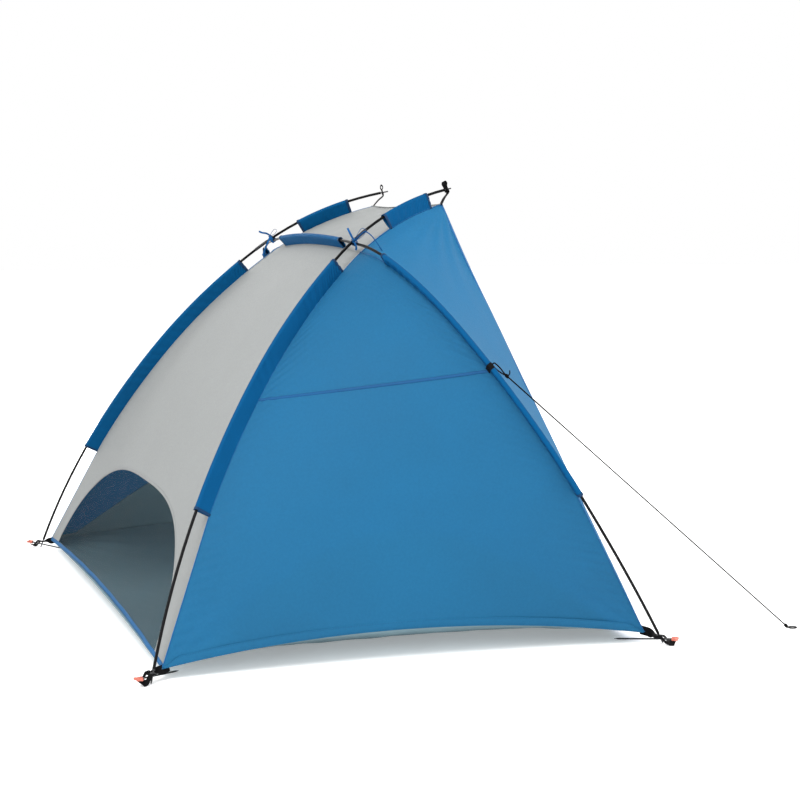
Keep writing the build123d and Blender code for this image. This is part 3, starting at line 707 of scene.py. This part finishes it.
def add_side_hem(name, side, shaped, t, v):
    """The folded hem with its two rows of stitches, on the shaped cloth, narrow at its ends."""
    at = np.linspace(0.003, 0.997, 260)
    low = on_cloth(shaped, t, v, at * 0, at)
    up, off = hem_frame(low, on_cloth(shaped, t, v, at * 0 + 0.03, at) - low, 0)
    share = np.linspace(0, 1, len(at))
    narrow = 0.3 + 0.7 * smooth(np.minimum(share, 1 - share) / 0.04)
    up = up * narrow[:, None]
    wave = 0.0006 * undulation(at * 1.4, 0, 41, 0.16)[:, None]
    path = low + up * HEM / 2 + off * (0.0012 + wave)
    band = tape(name + "_hem_band", path * side, unit(up) * side, off * side, HEM * narrow,
                HEM_TAPE, BLUE)
    stands(band, "binding", name + "_hem_binding")
    return [band, stitches_on(name + "_hem_stitches", path, up, off, (-0.008, 0.009), 0.0014, side)]


# ---- roof, window

REAR_HEM_LIFT, REAR_HEM = 0.026, 0.013
HEM_FADE = 0.26                          # how high the hem's bow is felt
WINDOW_HALF, WINDOW_HIGH = 0.908, 0.389
WINDOW_P, WINDOW_Q = 3.1, 1.6            # the arch's shape
WINDOW_FEET = 0.2                        # the share of the arch that each of its sides takes
AWNING_SAG = 0.012


def strip_up():
    """Up the flat rear strip, and its length to where the sleeves begin."""
    rise = rail_seam(REAR_SLEEVE[0]) - vec(*REAR_CORNER)
    rise[0] = 0
    return unit(rise), float(np.linalg.norm(rise))


STRIP_UP, STRIP_HIGH = strip_up()
STRIP_OUT = np.cross(STRIP_UP, vec(1, 0, 0))
STRIP_OUT *= np.sign(STRIP_OUT[1])


def strip_point(x, h):
    """A point of the rear strip, h up from its hem, which bows upward in the middle."""
    raised = h + REAR_HEM_LIFT * (1 - (x / REAR_CORNER[0]) ** 2) * np.clip(1 - h / HEM_FADE, 0, 1)
    flat = np.stack([x, np.full_like(x, REAR_CORNER[1]), np.full_like(x, REAR_CORNER[2])], axis=-1)
    return flat + STRIP_UP * raised[..., None]


def window_edge(a):
    """The window's arch, a from 0 at its left foot over the top to 1."""
    across = -np.cos(math.pi * a)
    high = np.clip(1 - np.abs(across) ** WINDOW_P, 0, 1) ** (1 / WINDOW_Q)
    return across * WINDOW_HALF, high * WINDOW_HIGH


def strip_edge_x(h):
    """Half the rear strip's width at height h."""
    top = rail_seam(REAR_SLEEVE[0])[0]
    return REAR_CORNER[0] + (top - REAR_CORNER[0]) * h / STRIP_HIGH


def roof_surface(stations, u):
    """The roof from the rear strip's top edge forward to the awning's front edge."""
    edge = lines(rail_seam, stations)
    share = np.where(stations < RAIL_CROSS,
                     (stations - REAR_SLEEVE[0]) / (RAIL_CROSS - REAR_SLEEVE[0]),
                     (RAIL.length - stations) / (RAIL.length - RAIL_CROSS))
    middle = (1 - u ** 2)[None, :, None]
    crown = HOOP.seam(HOOP.length / 2, HOOP_SEAM) - HOOP.seam(HOOP_CROSS, HOOP_SEAM)
    crown[0] = 0
    grid = edge[:, None] * np.stack([u, np.ones_like(u), np.ones_like(u)], axis=-1)
    grid += crown * (np.clip(share, 0, 1) ** 2.1)[:, None, None] * middle
    ahead = np.clip((stations - RAIL_CROSS) / (RAIL_END_SEAM - RAIL_CROSS), 0, 1)
    return grid + vec(0, AWNING_SAG, -AWNING_SAG / 2) * (ahead ** 2)[:, None, None] * middle


def strip_surface(top_x):
    """The rear strip as a band from its outer edge in to the window's arch."""
    climb = np.linspace(0, 1, 41)[:-1]
    side_x, inward = strip_edge_x(climb * STRIP_HIGH), spaced(34, 0.4)[:, None]
    outer_x = np.concatenate([-side_x, top_x, side_x[::-1]])
    outer_h = STRIP_HIGH * np.concatenate([climb, np.ones_like(top_x), climb[::-1]])
    inner_x, inner_h = window_edge(np.concatenate([
        climb * WINDOW_FEET, np.linspace(WINDOW_FEET, 1 - WINDOW_FEET, len(top_x)),
        1 - climb[::-1] * WINDOW_FEET]))
    return outer_x * (1 - inward) + inner_x * inward, outer_h * (1 - inward) + inner_h * inward


def shaped_upper(stations, u):
    """The roof above the strip, with its faint pulls and puckers."""
    upper = roof_surface(stations, u)
    out = normals(upper)
    out *= np.sign(out[20, 75, 2])
    run, gap = np.repeat(stations[:, None], len(u), 1), (1 - np.abs(u)) * np.abs(upper[:, -1:, 0])
    lift = 0.0040 * undulation(upper[..., 0], run, 61, 0.6)
    lift += 0.0012 * undulation(upper[..., 0], run, 62, 0.17) + 0.0013 * pucker(gap, run, 64)
    ridge = np.exp(-np.abs(stations - RAIL_CROSS) / 0.03)[:, None]
    lift *= np.minimum(1, gap / 0.014) * (1 - 0.8 * ridge)
    lift *= smooth((stations - stations[0]) / 0.05)[:, None]
    upper = upper + out * lift[..., None]
    return upper, pairs(upper[..., 0], run)


def shaped_strip(top_x):
    x, h = strip_surface(top_x)
    gap = strip_edge_x(h) - np.abs(x)
    fade = np.minimum(1, np.minimum(gap, STRIP_HIGH - h) / 0.05).clip(0, 1)
    lift = 0.0022 * undulation(x, h, 66, 0.4) + 0.0011 * pucker(gap.clip(0, 1), h, 67)
    return strip_point(x, h) + STRIP_OUT * (lift * fade)[..., None], pairs(x, h)


def add_roof():
    stations = np.concatenate([np.linspace(REAR_SLEEVE[0], RAIL_CROSS, 190),
                               np.linspace(RAIL_CROSS, RAIL_END_SEAM, 76)[1:]])
    upper, upper_place = shaped_upper(stations, spaced(150, 0.35) * 2 - 1)
    strip, strip_place = shaped_strip(upper[0, :, 0])
    points, place = (np.concatenate([a.reshape(-1, a.shape[-1]), b.reshape(-1, b.shape[-1])])
                     for a, b in ((upper, strip), (upper_place, strip_place)))
    faces = grid_faces(*upper.shape[:2])
    faces += [face[::-1] for face in grid_faces(*strip.shape[:2], first=upper[..., 0].size)]
    roof = mesh_piece("roof_cloth", points, faces, GREY, place, CLOTH)
    edit_mesh(roof, lambda made: bmesh.ops.remove_doubles(made, verts=made.verts, dist=0.0004))
    stands(roof, "grey_cloth", "roof_panel")
    extra = [*add_rear_hem(), *add_window_edge(), add_awning_edge(upper[-1])]
    add_window()


def add_rear_hem():
    x = np.linspace(-0.996, 0.996, 260) * REAR_CORNER[0]
    low = strip_point(x, np.zeros_like(x))
    up, off = hem_frame(low, STRIP_UP, 1)
    wave = 0.0011 * undulation(x, 0, 43, 0.17)[:, None]
    path = low + up * REAR_HEM / 2 + off * (0.0006 + wave)
    band = tape("rear_hem_band", path, up, off, REAR_HEM, EDGE_TAPE, EDGE_BLUE)
    stands(band, "binding", "rear_hem_binding")
    return band, stitches_on("rear_hem_stitches", path, up, off, (-0.003, 0.004), 0.0013)


def add_window_edge():
    """The folded grey edge round the window's arch, stitched twice."""
    arch = strip_point(*window_edge(np.linspace(0.035, 0.965, 360)))
    outward = unit(np.cross(tangents(arch), STRIP_OUT))
    outward *= np.sign(outward[len(arch) // 2] @ STRIP_UP)
    path = arch + outward * 0.005 + STRIP_OUT * 0.0008
    band = stands(tape("window_edge_band", path, outward, STRIP_OUT, 0.010, 0.0016, GREY), "grey_cloth")
    return band, stitches_on("window_stitches", path, outward, STRIP_OUT, (-0.003, 0.003), 0.0009,
                             thread=GREY_THREAD)


def add_window():
    x, high = window_edge(np.linspace(0.02, 0.98, 150))
    rows = np.linspace(0, 1, 46)[:, None]
    h = 0.012 + (high[None] - 0.008) * rows
    x = np.repeat(x[None], len(rows), 0)
    sag = 0.004 * (1 - (x / WINDOW_HALF) ** 2) + 0.0012 * undulation(x, h, 69, 0.3)
    grid = strip_point(x, h) - STRIP_OUT * (sag * np.sin(math.pi * rows) + 0.0008)[..., None]
    window = sheet_piece("window_net", grid, MESH, 0.0004, pairs(x, h))
    stands(window, "mesh", "window_mesh")


def add_awning_edge(edge):
    """The tape along the awning's front edge."""
    along = tangents(edge)
    inward = unit(np.cross(Z, along))
    inward *= np.sign(inward[len(edge) // 2, 1])
    up = unit(np.cross(along, inward))
    up *= np.sign(up[:, 2:3])
    return tape("awning_edge_band", edge + inward * 0.006, inward, up, 0.014, EDGE_TAPE, GREY)


# ---- awning wings

WING_SAG = 0.022


def wing_surface(t, v):
    """t from the roof's seam down to the front corner, v from the hoop to the free edge."""
    top, toe, corner = rail_seam(RAIL_END_SEAM), vec(*FRONT_CORNER), rail_seam(RAIL_CROSS)
    back = lines(hoop_seam, HOOP_CROSS * (1 - t))
    back[t == 0] = corner
    ahead = top * (1 - t)[:, None] + toe * t[:, None]
    ahead += unit(back - ahead) * (WING_SAG * bow(t))[:, None]
    crest = lines(rail_seam, RAIL_CROSS + (RAIL_END_SEAM - RAIL_CROSS) * v)
    crest -= corner * (1 - v)[:, None] + top * v[:, None]
    across = v[None, :, None]
    grid = back[:, None] * (1 - across) + ahead[:, None] * across
    return grid + crest[None] * ((1 - t) ** 2)[:, None, None]


def add_wings():
    t, v = np.linspace(0, 0.994, 210), spaced(56, 0.4)
    base = wing_surface(t, v)
    x, y = cloth_size(base)
    width = np.linalg.norm(base[:, -1] - base[:, 0], axis=1)[:, None]
    out = normals(base)
    out *= np.sign(out[60, 28, 0])
    near, far = v * width, (1 - v) * width
    lift = 0.0030 * undulation(x, y, 81, 0.4) + 0.0013 * pucker(near, y, 83)
    lift += 0.0030 * fan(x, y, (x[0, -1], 0.0), 84, 0.25, 19)
    lift *= np.minimum(1, near / 0.012) * np.minimum(1, 0.25 + far / 0.02) * smooth(t / 0.03)[:, None]
    shaped = base + out * lift[..., None]
    keep = slice(0, -3)
    edge, inward = shaped[:, -1], unit(base[:, -4] - base[:, -1])
    facing = unit(np.cross(tangents(edge), inward))
    facing = (facing * np.sign(facing[:, :1]))[keep]
    path, inward = (edge + inward * 0.005)[keep], inward[keep]
    for name, side in SIDES.items():
        wing = sheet_piece(name + "_wing_cloth", shaped * side, LIGHT_BLUE)
        stands(wing, "light_blue_cloth", name + "_awning_wing")
        band = tape(name + "_wing_edge", path * side, inward * side, facing * side,
                    0.011, EDGE_TAPE, EDGE_BLUE)
        stands(band, "binding")
        threads = stitches_on(name + "_wing_stitches", path, inward, facing, (0.003,), 0.0012, side)


# ---- floor

FLOOR_FLAT, FLOOR_RAMP, FLOOR_CURVE = 0.70, 0.17, 1.5
FRONT_HEM_INSET, FLOOR_LOWEST = 0.034, 0.0007
WALL_RISE, WALL_EDGE, WALL_END, WALL_OFFSET = 0.228, 0.012, 0.06, 0.006


def floor_height(x, y, half=REAR_CORNER[0]):
    """The floor's height: flat in the middle, raised to the hems at the sides and the rear."""
    depth = (REAR_CORNER[1] - y) / (REAR_CORNER[1] - FRONT_CORNER[1])
    side = np.clip((np.abs(x) - FLOOR_FLAT) / (half - FLOOR_FLAT), 0, 1)
    rear = np.clip(1 - depth / FLOOR_RAMP, 0, 1)
    side_top = REAR_CORNER[2] + SIDE_HEM_LIFT * bow(np.clip(depth, 0, 1))
    rear_top = REAR_CORNER[2] + REAR_HEM_LIFT * STRIP_UP[2] * (1 - (x / half) ** 2)
    raised = np.maximum(side_top * side ** FLOOR_CURVE, rear_top * rear ** FLOOR_CURVE)
    return FLOOR_LOWEST + 0.985 * raised


def add_floor():
    v, u = np.linspace(0, 1, 150)[:, None], (spaced(190, 0.3) * 2 - 1)[None]
    half = lines(side_hem, v[:, 0])[:, :1] - 0.002
    y = REAR_CORNER[1] - 0.001 + (FRONT_CORNER[1] - REAR_CORNER[1] + 0.001) * v
    x, y = u * half, y + FRONT_HEM_INSET * (1 - u ** 2) * v ** 4
    folds = 0.0022 * undulation(x, y, 91, 0.34) + 0.0013 * undulation(x, y, 92, 0.12)
    for side, seed in ((1, 93), (-1, 94)):
        folds += 0.004 * fan(x, y, (side * REAR_CORNER[0], REAR_CORNER[1]), seed, 0.35, 19)
    folds *= np.minimum(1, np.minimum((1 - np.abs(u)) / 0.04, v / 0.04))
    folds *= np.minimum(1, (1 - v) / 0.02 + 0.2)
    z = np.maximum(floor_height(x, y, half) + folds, FLOOR_LOWEST)
    floor = sheet_piece("floor_cloth", np.stack([x, y, z], axis=-1), FLOOR_GREY)
    stands(floor, "floor_cloth", "floor")
    add_front_hem()


def add_front_hem():
    u = np.linspace(-0.985, 0.985, 240)
    x, y = u * FRONT_CORNER[0], FRONT_CORNER[1] + FRONT_HEM_INSET * (1 - u ** 2) - 0.004
    path = np.stack([x, y, floor_height(x, FRONT_CORNER[1]) + 0.0012], axis=-1)
    along = tangents(path)
    ahead = unit(np.cross(along, Z))
    up = unit(np.cross(ahead, along))
    up *= np.sign(up[:, 2:3])
    band = tape("front_hem_band", path, ahead, up, 0.022, HEM_TAPE, EDGE_BLUE)
    return stands(band, "binding", "front_hem_binding")


def add_floor_walls():
    """The floor's cloth turned up inside each side panel, arched along its top."""
    v, share = np.linspace(0.002, 0.998, 120), np.linspace(0, 1, 30)
    height = WALL_EDGE + WALL_RISE * bow(np.clip((v - WALL_END) / (1 - 2 * WALL_END), 0, 1))
    grid = np.stack([side_surface(top * share, vec(place))[:, 0] for place, top in zip(v, height)], axis=1)
    grid -= vec(WALL_OFFSET, 0, 0)
    grid[..., 0] += 0.0012 * undulation(grid[..., 1], grid[..., 2], 97, 0.2)
    for name, side in SIDES.items():
        wall = sheet_piece(name + "_wall_cloth", grid * side, FLOOR_GREY, 0.0008)
        stands(wall, "floor_cloth", name + "_floor_wall")


# ---- seams

SEAM_R = 0.0021


def add_seam_piping():
    """The sewn ridges where roof, panels and sleeves meet."""
    for name, side in SIDES.items():
        rail = lines(rail_seam, np.linspace(0.004, RAIL_END_SEAM, 420)) * side
        leg = lines(hoop_seam, np.linspace(0.004, HOOP_CROSS + 0.03, 400)) * side
        piping(name + "_rail_piping", rail, EDGE_BLUE, "sleeve_cloth")
        piping(name + "_hoop_piping", leg, EDGE_BLUE, "sleeve_cloth")
    stations = np.linspace(HOOP_CROSS, HOOP.length - HOOP_CROSS, 160)
    top = lines(lambda s: HOOP.seam(s, HOOP_SEAM), stations)
    piping("hoop_top_piping", top, GREY, "grey_cloth")


# ---- straps and eyes

EYELET_Z, EYELET_BARREL = 0.024, 0.0054
# The strap's middle line, outward from the eyelet and up, then its width and cloth.
STRAP_ROUTE = ((-0.060, 0.0330), (-0.026, 0.0270), (-0.012, EYELET_Z), (0.011, EYELET_Z),
               (0.021, 0.0155), (0.030, 0.0090), (0.040, 0.0072), (0.049, 0.0084))
STRAP_V, STRAP_CLOTH = (-0.009, 0.017), 0.0022
STRAP_SKEW = -0.013                      # how far its inner end lies towards the tent's corner
STRAP_ROLL = (math.radians(68), math.radians(26))   # its turn on edge, inner and outer end
STRAP_CUP = 0.006                        # how far its free edge curls beside the eyelet
EYE_U, EYE_V = (0.0130, 0.0245), (0.0048, 0.0112)
POLE_START = 0.022


def rounded_path(points, step):
    """A smooth line through a few points, evenly spaced."""
    points = np.array(points, float)
    padded = np.vstack([2 * points[0] - points[1], points, 2 * points[-1] - points[-2]])
    t = np.linspace(0, 1, 24, endpoint=False)[:, None]
    spans = [0.5 * (2 * b + (c - a) * t + (2 * a - 5 * b + 4 * c - d) * t ** 2
                    + (3 * b - a - 3 * c + d) * t ** 3)
             for a, b, c, d in zip(padded, padded[1:], padded[2:], padded[3:])]
    made = np.vstack([*spans, points[-1:]])
    run = run_along(made)
    even = np.linspace(0, run[-1], max(3, int(run[-1] / step)))
    return np.stack([np.interp(even, run, column) for column in made.T], axis=-1)


def corner_frame(pole, outward):
    """Origin on the ground under the eyelet, and the outward and across directions."""
    point, tangent, _ = pole.at(POLE_START)
    below = point - tangent * ((point[2] - EYELET_Z) / tangent[2])
    out = unit(vec(*outward))
    return below * vec(1, 1, 0), out, np.cross(Z, out)


def add_strap(name, corner, side, lean):
    """A webbing strap with its eyelet hole and the long eye that the peg goes through.

    It is flat on the pole's pin, and turns on edge, leaning in with the tent, to both ends.
    """
    origin, out, across = corner
    route = rounded_path(STRAP_ROUTE, 0.0010)
    u, high, wide = route[:, 0], route[:, 1:], np.linspace(*STRAP_V, 53)
    skew = STRAP_SKEW * smooth((-0.012 - u) / 0.028)
    roll = lean * (STRAP_ROLL[0] * smooth((-0.009 - u) / 0.024)
                   + STRAP_ROLL[1] * smooth((u - EYE_U[1]) / 0.012))
    middle = sum(STRAP_V) / 2
    width_way = np.cos(roll)[:, None] * across + np.sin(roll)[:, None] * Z
    centre = origin + u[:, None] * out + high * Z + (middle + skew)[:, None] * across
    grid = centre[:, None] + (wide - middle)[None, :, None] * width_way[:, None]
    cup = lean * STRAP_CUP * smooth((wide - 0.0095) / 0.0075)
    flat = smooth((u + 0.016) / 0.010) * smooth((0.034 - u) / 0.010)
    grid = grid + (flat[:, None] * cup)[..., None] * Z
    faces = []
    for face in grid_faces(len(route), len(wide)):
        rows, columns = np.divmod(face, len(wide))
        along, beside = np.mean(u[rows]), np.mean(wide[columns])
        in_eye = EYE_U[0] < along < EYE_U[1] and EYE_V[0] < beside < EYE_V[1]
        if not in_eye and math.hypot(along, beside) > EYELET_BARREL:
            faces.append(face)
    strap = mesh_piece(name + "_webbing", grid * side, faces, WEBBING,
                       pairs(wide, run_along(route)[:, None]), STRAP_CLOTH)
    edit_mesh(strap, lambda made: bmesh.ops.delete(
        made, geom=[v for v in made.verts if not v.link_faces], context="VERTS"))
    bevel = strap.modifiers.new("soft_edges", "BEVEL")
    bevel.width, bevel.segments, bevel.limit_method = 0.0004, 2, "ANGLE"
    stands(strap, "webbing", name + "_strap")


def add_straps():
    for end, pole, outward, lean in (("rear", RAIL, (1, 1, 0), 1), ("front", HOOP, (1, -1, 0), -1)):
        for name, side in SIDES.items():
            add_strap("%s_%s" % (name, end), corner_frame(pole, outward), side, lean)


def ribbon(name, route, across, width, thickness, cloth=TIE_BLUE, slot="tie_tape"):
    """A flat tape along a smooth 3-D route, its width along a given direction."""
    path = rounded_path(route, 0.0015)
    along = tangents(path)
    wide = unit(across - along * (along @ across)[:, None])
    return stands(tape(name, path, wide, np.cross(along, wide), width, thickness, cloth), slot)


def add_tip_straps():
    """At each awning tip: a tab across the pin, its folded loop standing above the pole."""
    point, tangent, inward = RAIL.at(RAIL.length)
    centre, up = point + tangent * 0.009, -inward
    side_way = np.cross(tangent, up)
    canopy = RAIL.seam(RAIL_END_SEAM - 0.010, RAIL_SEAM + 0.002)
    route = [canopy, canopy * 0.55 + centre * 0.45 + tangent * 0.004, centre - up * 0.011, centre,
             centre + up * 0.010, centre + up * 0.019 + tangent * 0.0045, centre + up * 0.0262,
             centre + up * 0.019 - tangent * 0.0045, centre + up * 0.010 - tangent * 0.0024,
             centre - tangent * 0.0024, centre - up * 0.008 - tangent * 0.0028]
    for name, side in SIDES.items():
        tab = ribbon(name + "_tip_webbing", np.array(route) * side, side_way * side, 0.018, 0.0020,
                     WEBBING, "webbing")
        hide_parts(name + "_tip_strap")


# ---- guy line

PATCH_WIDTH, PATCH_R, PATCH_LEG, PATCH = 0.018, 0.0083, 0.030, 0.0014
CORD_R, KNOT_R, KNOT_TURNS, GUY_LOOP = 0.002, 0.0055, 3, 0.052
GUY_END, END_LOOP_R = (-1.012, -1.172, 0.009), 0.013


def add_guy_patches():
    """Webbing folded round the hoop's sleeve, stitched through its legs."""
    stations = np.linspace(PATCH_S - PATCH_WIDTH / 2, PATCH_S + PATCH_WIDTH / 2, 12)
    middle = PATCH_R - PATCH / 2
    leg = [(PATCH_LEG * t, middle - 0.0012 * smooth(t)) for t in np.linspace(1, 0, 10)]
    turn = [(-middle * math.sin(a), middle * math.cos(a)) for a in np.linspace(0, math.pi, 18)]
    profile = np.array(leg + turn + [(x, -y) for x, y in leg[::-1]])
    centre, _, inward, aside = (rows[:, None] for rows in HOOP.frames(stations))
    grid = centre + inward * profile[:, :1] + aside * profile[:, 1:]
    uvs = pairs(stations[:, None], run_along(profile))
    for name, side in SIDES.items():
        patch = mesh_piece(name + "_patch_webbing", grid * side, grid_faces(*grid.shape[:2]), WEBBING,
                           uvs, PATCH)
        stands(patch, "webbing", name + "_guy_patch")


def cord_piece(name, points, *nodes, radius=CORD_R):
    """A round cord along a NURBS line of the points, in place of the CAD nodes."""
    data = bpy.data.curves.new(name, "CURVE")
    data.dimensions, data.bevel_depth, data.bevel_resolution = "3D", radius, 4
    data.use_fill_caps = True
    spline = data.splines.new("NURBS")
    spline.points.add(len(points) - 1)
    for point, place in zip(spline.points, points):
        point.co = (*place, 1)
    spline.order_u, spline.use_endpoint_u = 3, True
    data.materials.append(CORD)
    return stands(new_piece(name, data), "cord", *nodes)


def knot_piece(name, centre, axis, node):
    """An overhand knot's wraps: a short fat helix round the line."""
    aside = unit(np.cross(axis, Z))
    up = np.cross(aside, axis)
    points = []
    for share in np.linspace(0, 1, KNOT_TURNS * 10 + 1):
        angle = 2 * math.pi * KNOT_TURNS * share
        swell = 0.0024 + 0.0012 * bow(share)
        points.append(centre + axis * (share - 0.5) * 0.011
                      + (aside * math.cos(angle) + up * math.sin(angle)) * swell)
    return cord_piece(name, points, node, radius=CORD_R * 0.95)


def add_guy_line():
    """The line from its loop at the left patch to its end loop on the ground."""
    start = HOOP.at(PATCH_S)[0] * SIDES["left"] + HOOP.normal * (PATCH_R + CORD_R + 0.0004)
    end = vec(*GUY_END)
    toward = unit(end - start)
    aside = unit(np.cross(unit(np.cross(toward, Z)), toward)) * (CORD_R + 0.0022)
    knot = start + toward * GUY_LOOP

    def beside(origin, *places):
        """Points so far towards the end, aside and up from the origin."""
        return [origin + toward * on + aside * off + Z * up for on, off, up in places]

    cord = cord_piece("guy_cord", beside(start, (0, 1, 0), (0.020, 1.2, 0))
                      + beside(knot, (-0.012, 0, 0), (0.012, 0, 0))
                      + beside(end, (-0.020, 0, 0), (0, 0, 0)), "guy_line", "guy_loop")
    other = cord_piece("guy_loop_cord", beside(
        start, (0, 1, 0), (-0.004, 0.4, 0), (-0.002, -1, 0), (0.014, -1.5, 0))
        + beside(knot, (-0.014, -0.9, 0), (0, 0, 0)))
    first = knot_piece("guy_knot_wraps", knot, toward, "guy_knot")
    last = knot_piece("guy_end_knot_wraps", end, toward, "guy_end_knot")
    tail = cord_piece("guy_tail", beside(knot, (0, 0, 0), (0.006, 0, 0.006), (0.012, 0, 0.015),
                                         (0.010, 0, 0.022)), radius=CORD_R * 0.8)
    flat = unit(toward * vec(1, 1, 0))
    side_way = np.cross(Z, flat) * END_LOOP_R * 0.85
    middle = end * vec(1, 1, 0) + Z * (CORD_R + 0.0003) + flat * (KNOT_R + END_LOOP_R + CORD_R)
    ring = [middle + flat * math.cos(a) * END_LOOP_R * 1.15 + side_way * math.sin(a)
            for a in (math.pi * (-1 + k / 5) for k in range(1, 10))]
    loop = cord_piece("guy_end_loop_cord", [end - flat * 0.001, *ring, end + flat * 0.001],
                      "guy_end_loop")


# ---- ties at the crossings

# Each loose end of tape as points from its knot, in millimetres: towards the front, up and
# towards the left of the tent, then which way its width faces.
TIE_FRONT, TIE_OUT = unit(vec(-0.316, -0.949, 0)), unit(vec(-0.93, 0.31, 0.12))
TIE_WIDTH, TIE_WRAP_R = 0.0062, 0.0105
TIE_KNOT = ((-5, -2, 0), (0, 3, 3), (4, 0, 2), (1, -4, 1), (-4, 0, 3), (1, 4, 2))
TIE_ENDS = {
    "left": {
        "short_tail": (((0, 2, 3), (-7, 15, 8), (-13, 27, 10), (-19, 39, 8)), TIE_FRONT),
        "bow": (((0, 2, 3), (9, 18, 9), (21, 36, 11), (31, 36, 10), (34, 26, 9), (20, 11, 7),
                 (3, 2, 4)), TIE_OUT),
        "long_tail": (((2, 2, 4), (18, 17, 12), (34, 27, 20), (54, 12, 32), (74, -16, 42),
                       (90, -41, 46)), TIE_OUT + 0.6 * Z),
        "drop_tail": (((0, 0, 3), (4, -8, 9), (7, -18, 12), (6, -27, 12)), TIE_FRONT)},
    "right": {
        "short_tail": (((0, 2, 3), (-13, 9, 8), (-27, 11, 10), (-39, 16, 8)), Z),
        "bow": (((0, 2, 3), (6, 14, 5), (15, 24, 2), (22, 20, -4), (14, 8, -3), (2, 2, 2)), TIE_OUT),
        "long_tail": (((0, 0, 3), (-7, -20, 10), (-17, -44, 12), (-26, -68, 10)), TIE_FRONT),
        "drop_tail": (((0, 0, 3), (7, -10, 6), (11, -24, 7)), TIE_FRONT)},
}


def add_ties():
    """Tape tied round rail and hoop, with a bow's loop and tails."""
    rail_point, rail_way, _ = RAIL.at(RAIL_CROSS)
    hoop_point, hoop_way, _ = HOOP.at(HOOP_CROSS)
    middle, out = (rail_point + hoop_point) / 2, unit(rail_point - hoop_point)
    way = unit(rail_way + hoop_way)
    aside = np.cross(way, out)
    wrap = np.array([middle + (out * math.cos(a) * 1.12 + aside * math.sin(a) * 0.80) * TIE_WRAP_R
                     + way * 0.004 * math.sin(a / 2) for a in np.linspace(0, 4 * math.pi, 41)])
    axes = np.array([TIE_FRONT, Z, TIE_OUT]) / 1000
    for name, side in SIDES.items():
        band = ribbon(name + "_tie_wrap", wrap * side, way * side, TIE_WIDTH, 0.001)
        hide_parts(name + "_crossing_tie")
        knot = middle * side + (TIE_OUT if name == "left" else out * side) * 0.0128
        ribbon(name + "_tie_knot", knot + TIE_KNOT @ axes, TIE_OUT + Z * 0.5, TIE_WIDTH, 0.0016)
        for end, (points, wide) in TIE_ENDS[name].items():
            ribbon("%s_tie_%s" % (name, end), knot + points @ axes, wide, TIE_WIDTH, 0.0009)


# ---- studio

CAMERA_PLACE, CAMERA_LENS, CAMERA_SENSOR = (-5.797, 1.625, 1.200), 83.8, 36.0
CAMERA_AZIMUTH, CAMERA_PITCH = 251.59, 5.48
STUDIO_HALF, STUDIO_Z = 40.0, -0.0005
LAMPS = (("key", (-4.0, 3.5, 6.0), (0, 0, 0.5), 4.0, 420),
         ("fill", (2.0, -6.0, 3.5), (0, 0, 0.6), 4.0, 260),
         ("back", (5.0, -0.4, 1.6), (0.8, 0.0, 0.4), 3.0, 130),
         ("side", (-5.5, -4.0, 2.4), (-0.9, -0.3, 0.4), 3.0, 80))


def add_camera():
    data = bpy.data.cameras.new("camera")
    data.lens, data.sensor_width = CAMERA_LENS, CAMERA_SENSOR
    camera = new_object("camera", data)
    camera.location = CAMERA_PLACE
    camera.rotation_euler = (math.radians(90 - CAMERA_PITCH), 0, math.radians(CAMERA_AZIMUTH))
    bpy.context.scene.camera = camera


def soft_light(name, place, target, size, power):
    data = bpy.data.lights.new(name, "AREA")
    data.shape, data.size, data.energy = "DISK", size, power
    lamp = new_object(name, data)
    lamp.location, lamp.visible_camera = place, False
    lamp.rotation_euler = (Vector(target) - Vector(place)).to_track_quat("-Z", "Y").to_euler()


def add_studio():
    """A white room: a bright world, a lit floor and four soft lamps."""
    world = bpy.data.worlds.new("studio")
    world.use_nodes = True
    background = world.node_tree.nodes["Background"]
    background.inputs["Color"].default_value = (1, 1, 1, 1)
    background.inputs["Strength"].default_value = 1.0
    bpy.context.scene.world = world
    bpy.context.scene.view_settings.view_transform = "Standard"
    look = Look("studio_floor", Base_Color=(0.93, 0.93, 0.93, 1), Roughness=0.9,
                Emission_Color=(1, 1, 1, 1), Emission_Strength=0.25)
    mesh = bpy.data.meshes.new("studio_floor")
    corners = ((-1, -1), (1, -1), (1, 1), (-1, 1))
    mesh.from_pydata([(x * STUDIO_HALF, y * STUDIO_HALF, STUDIO_Z) for x, y in corners],
                     [], [(0, 1, 2, 3)])
    mesh.materials.append(look.made)
    new_object("studio_floor", mesh)
    for lamp in LAMPS:
        soft_light(*lamp)


# ---- the tent

paint_cad_nodes()
for add in (add_sleeves, add_side_panels, add_roof, add_wings, add_floor, add_floor_walls,
            add_seam_piping, add_straps, add_tip_straps, add_guy_patches, add_guy_line, add_ties):
    add()
for piece in PIECES:
    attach(piece, "tent")
add_camera()
add_studio()
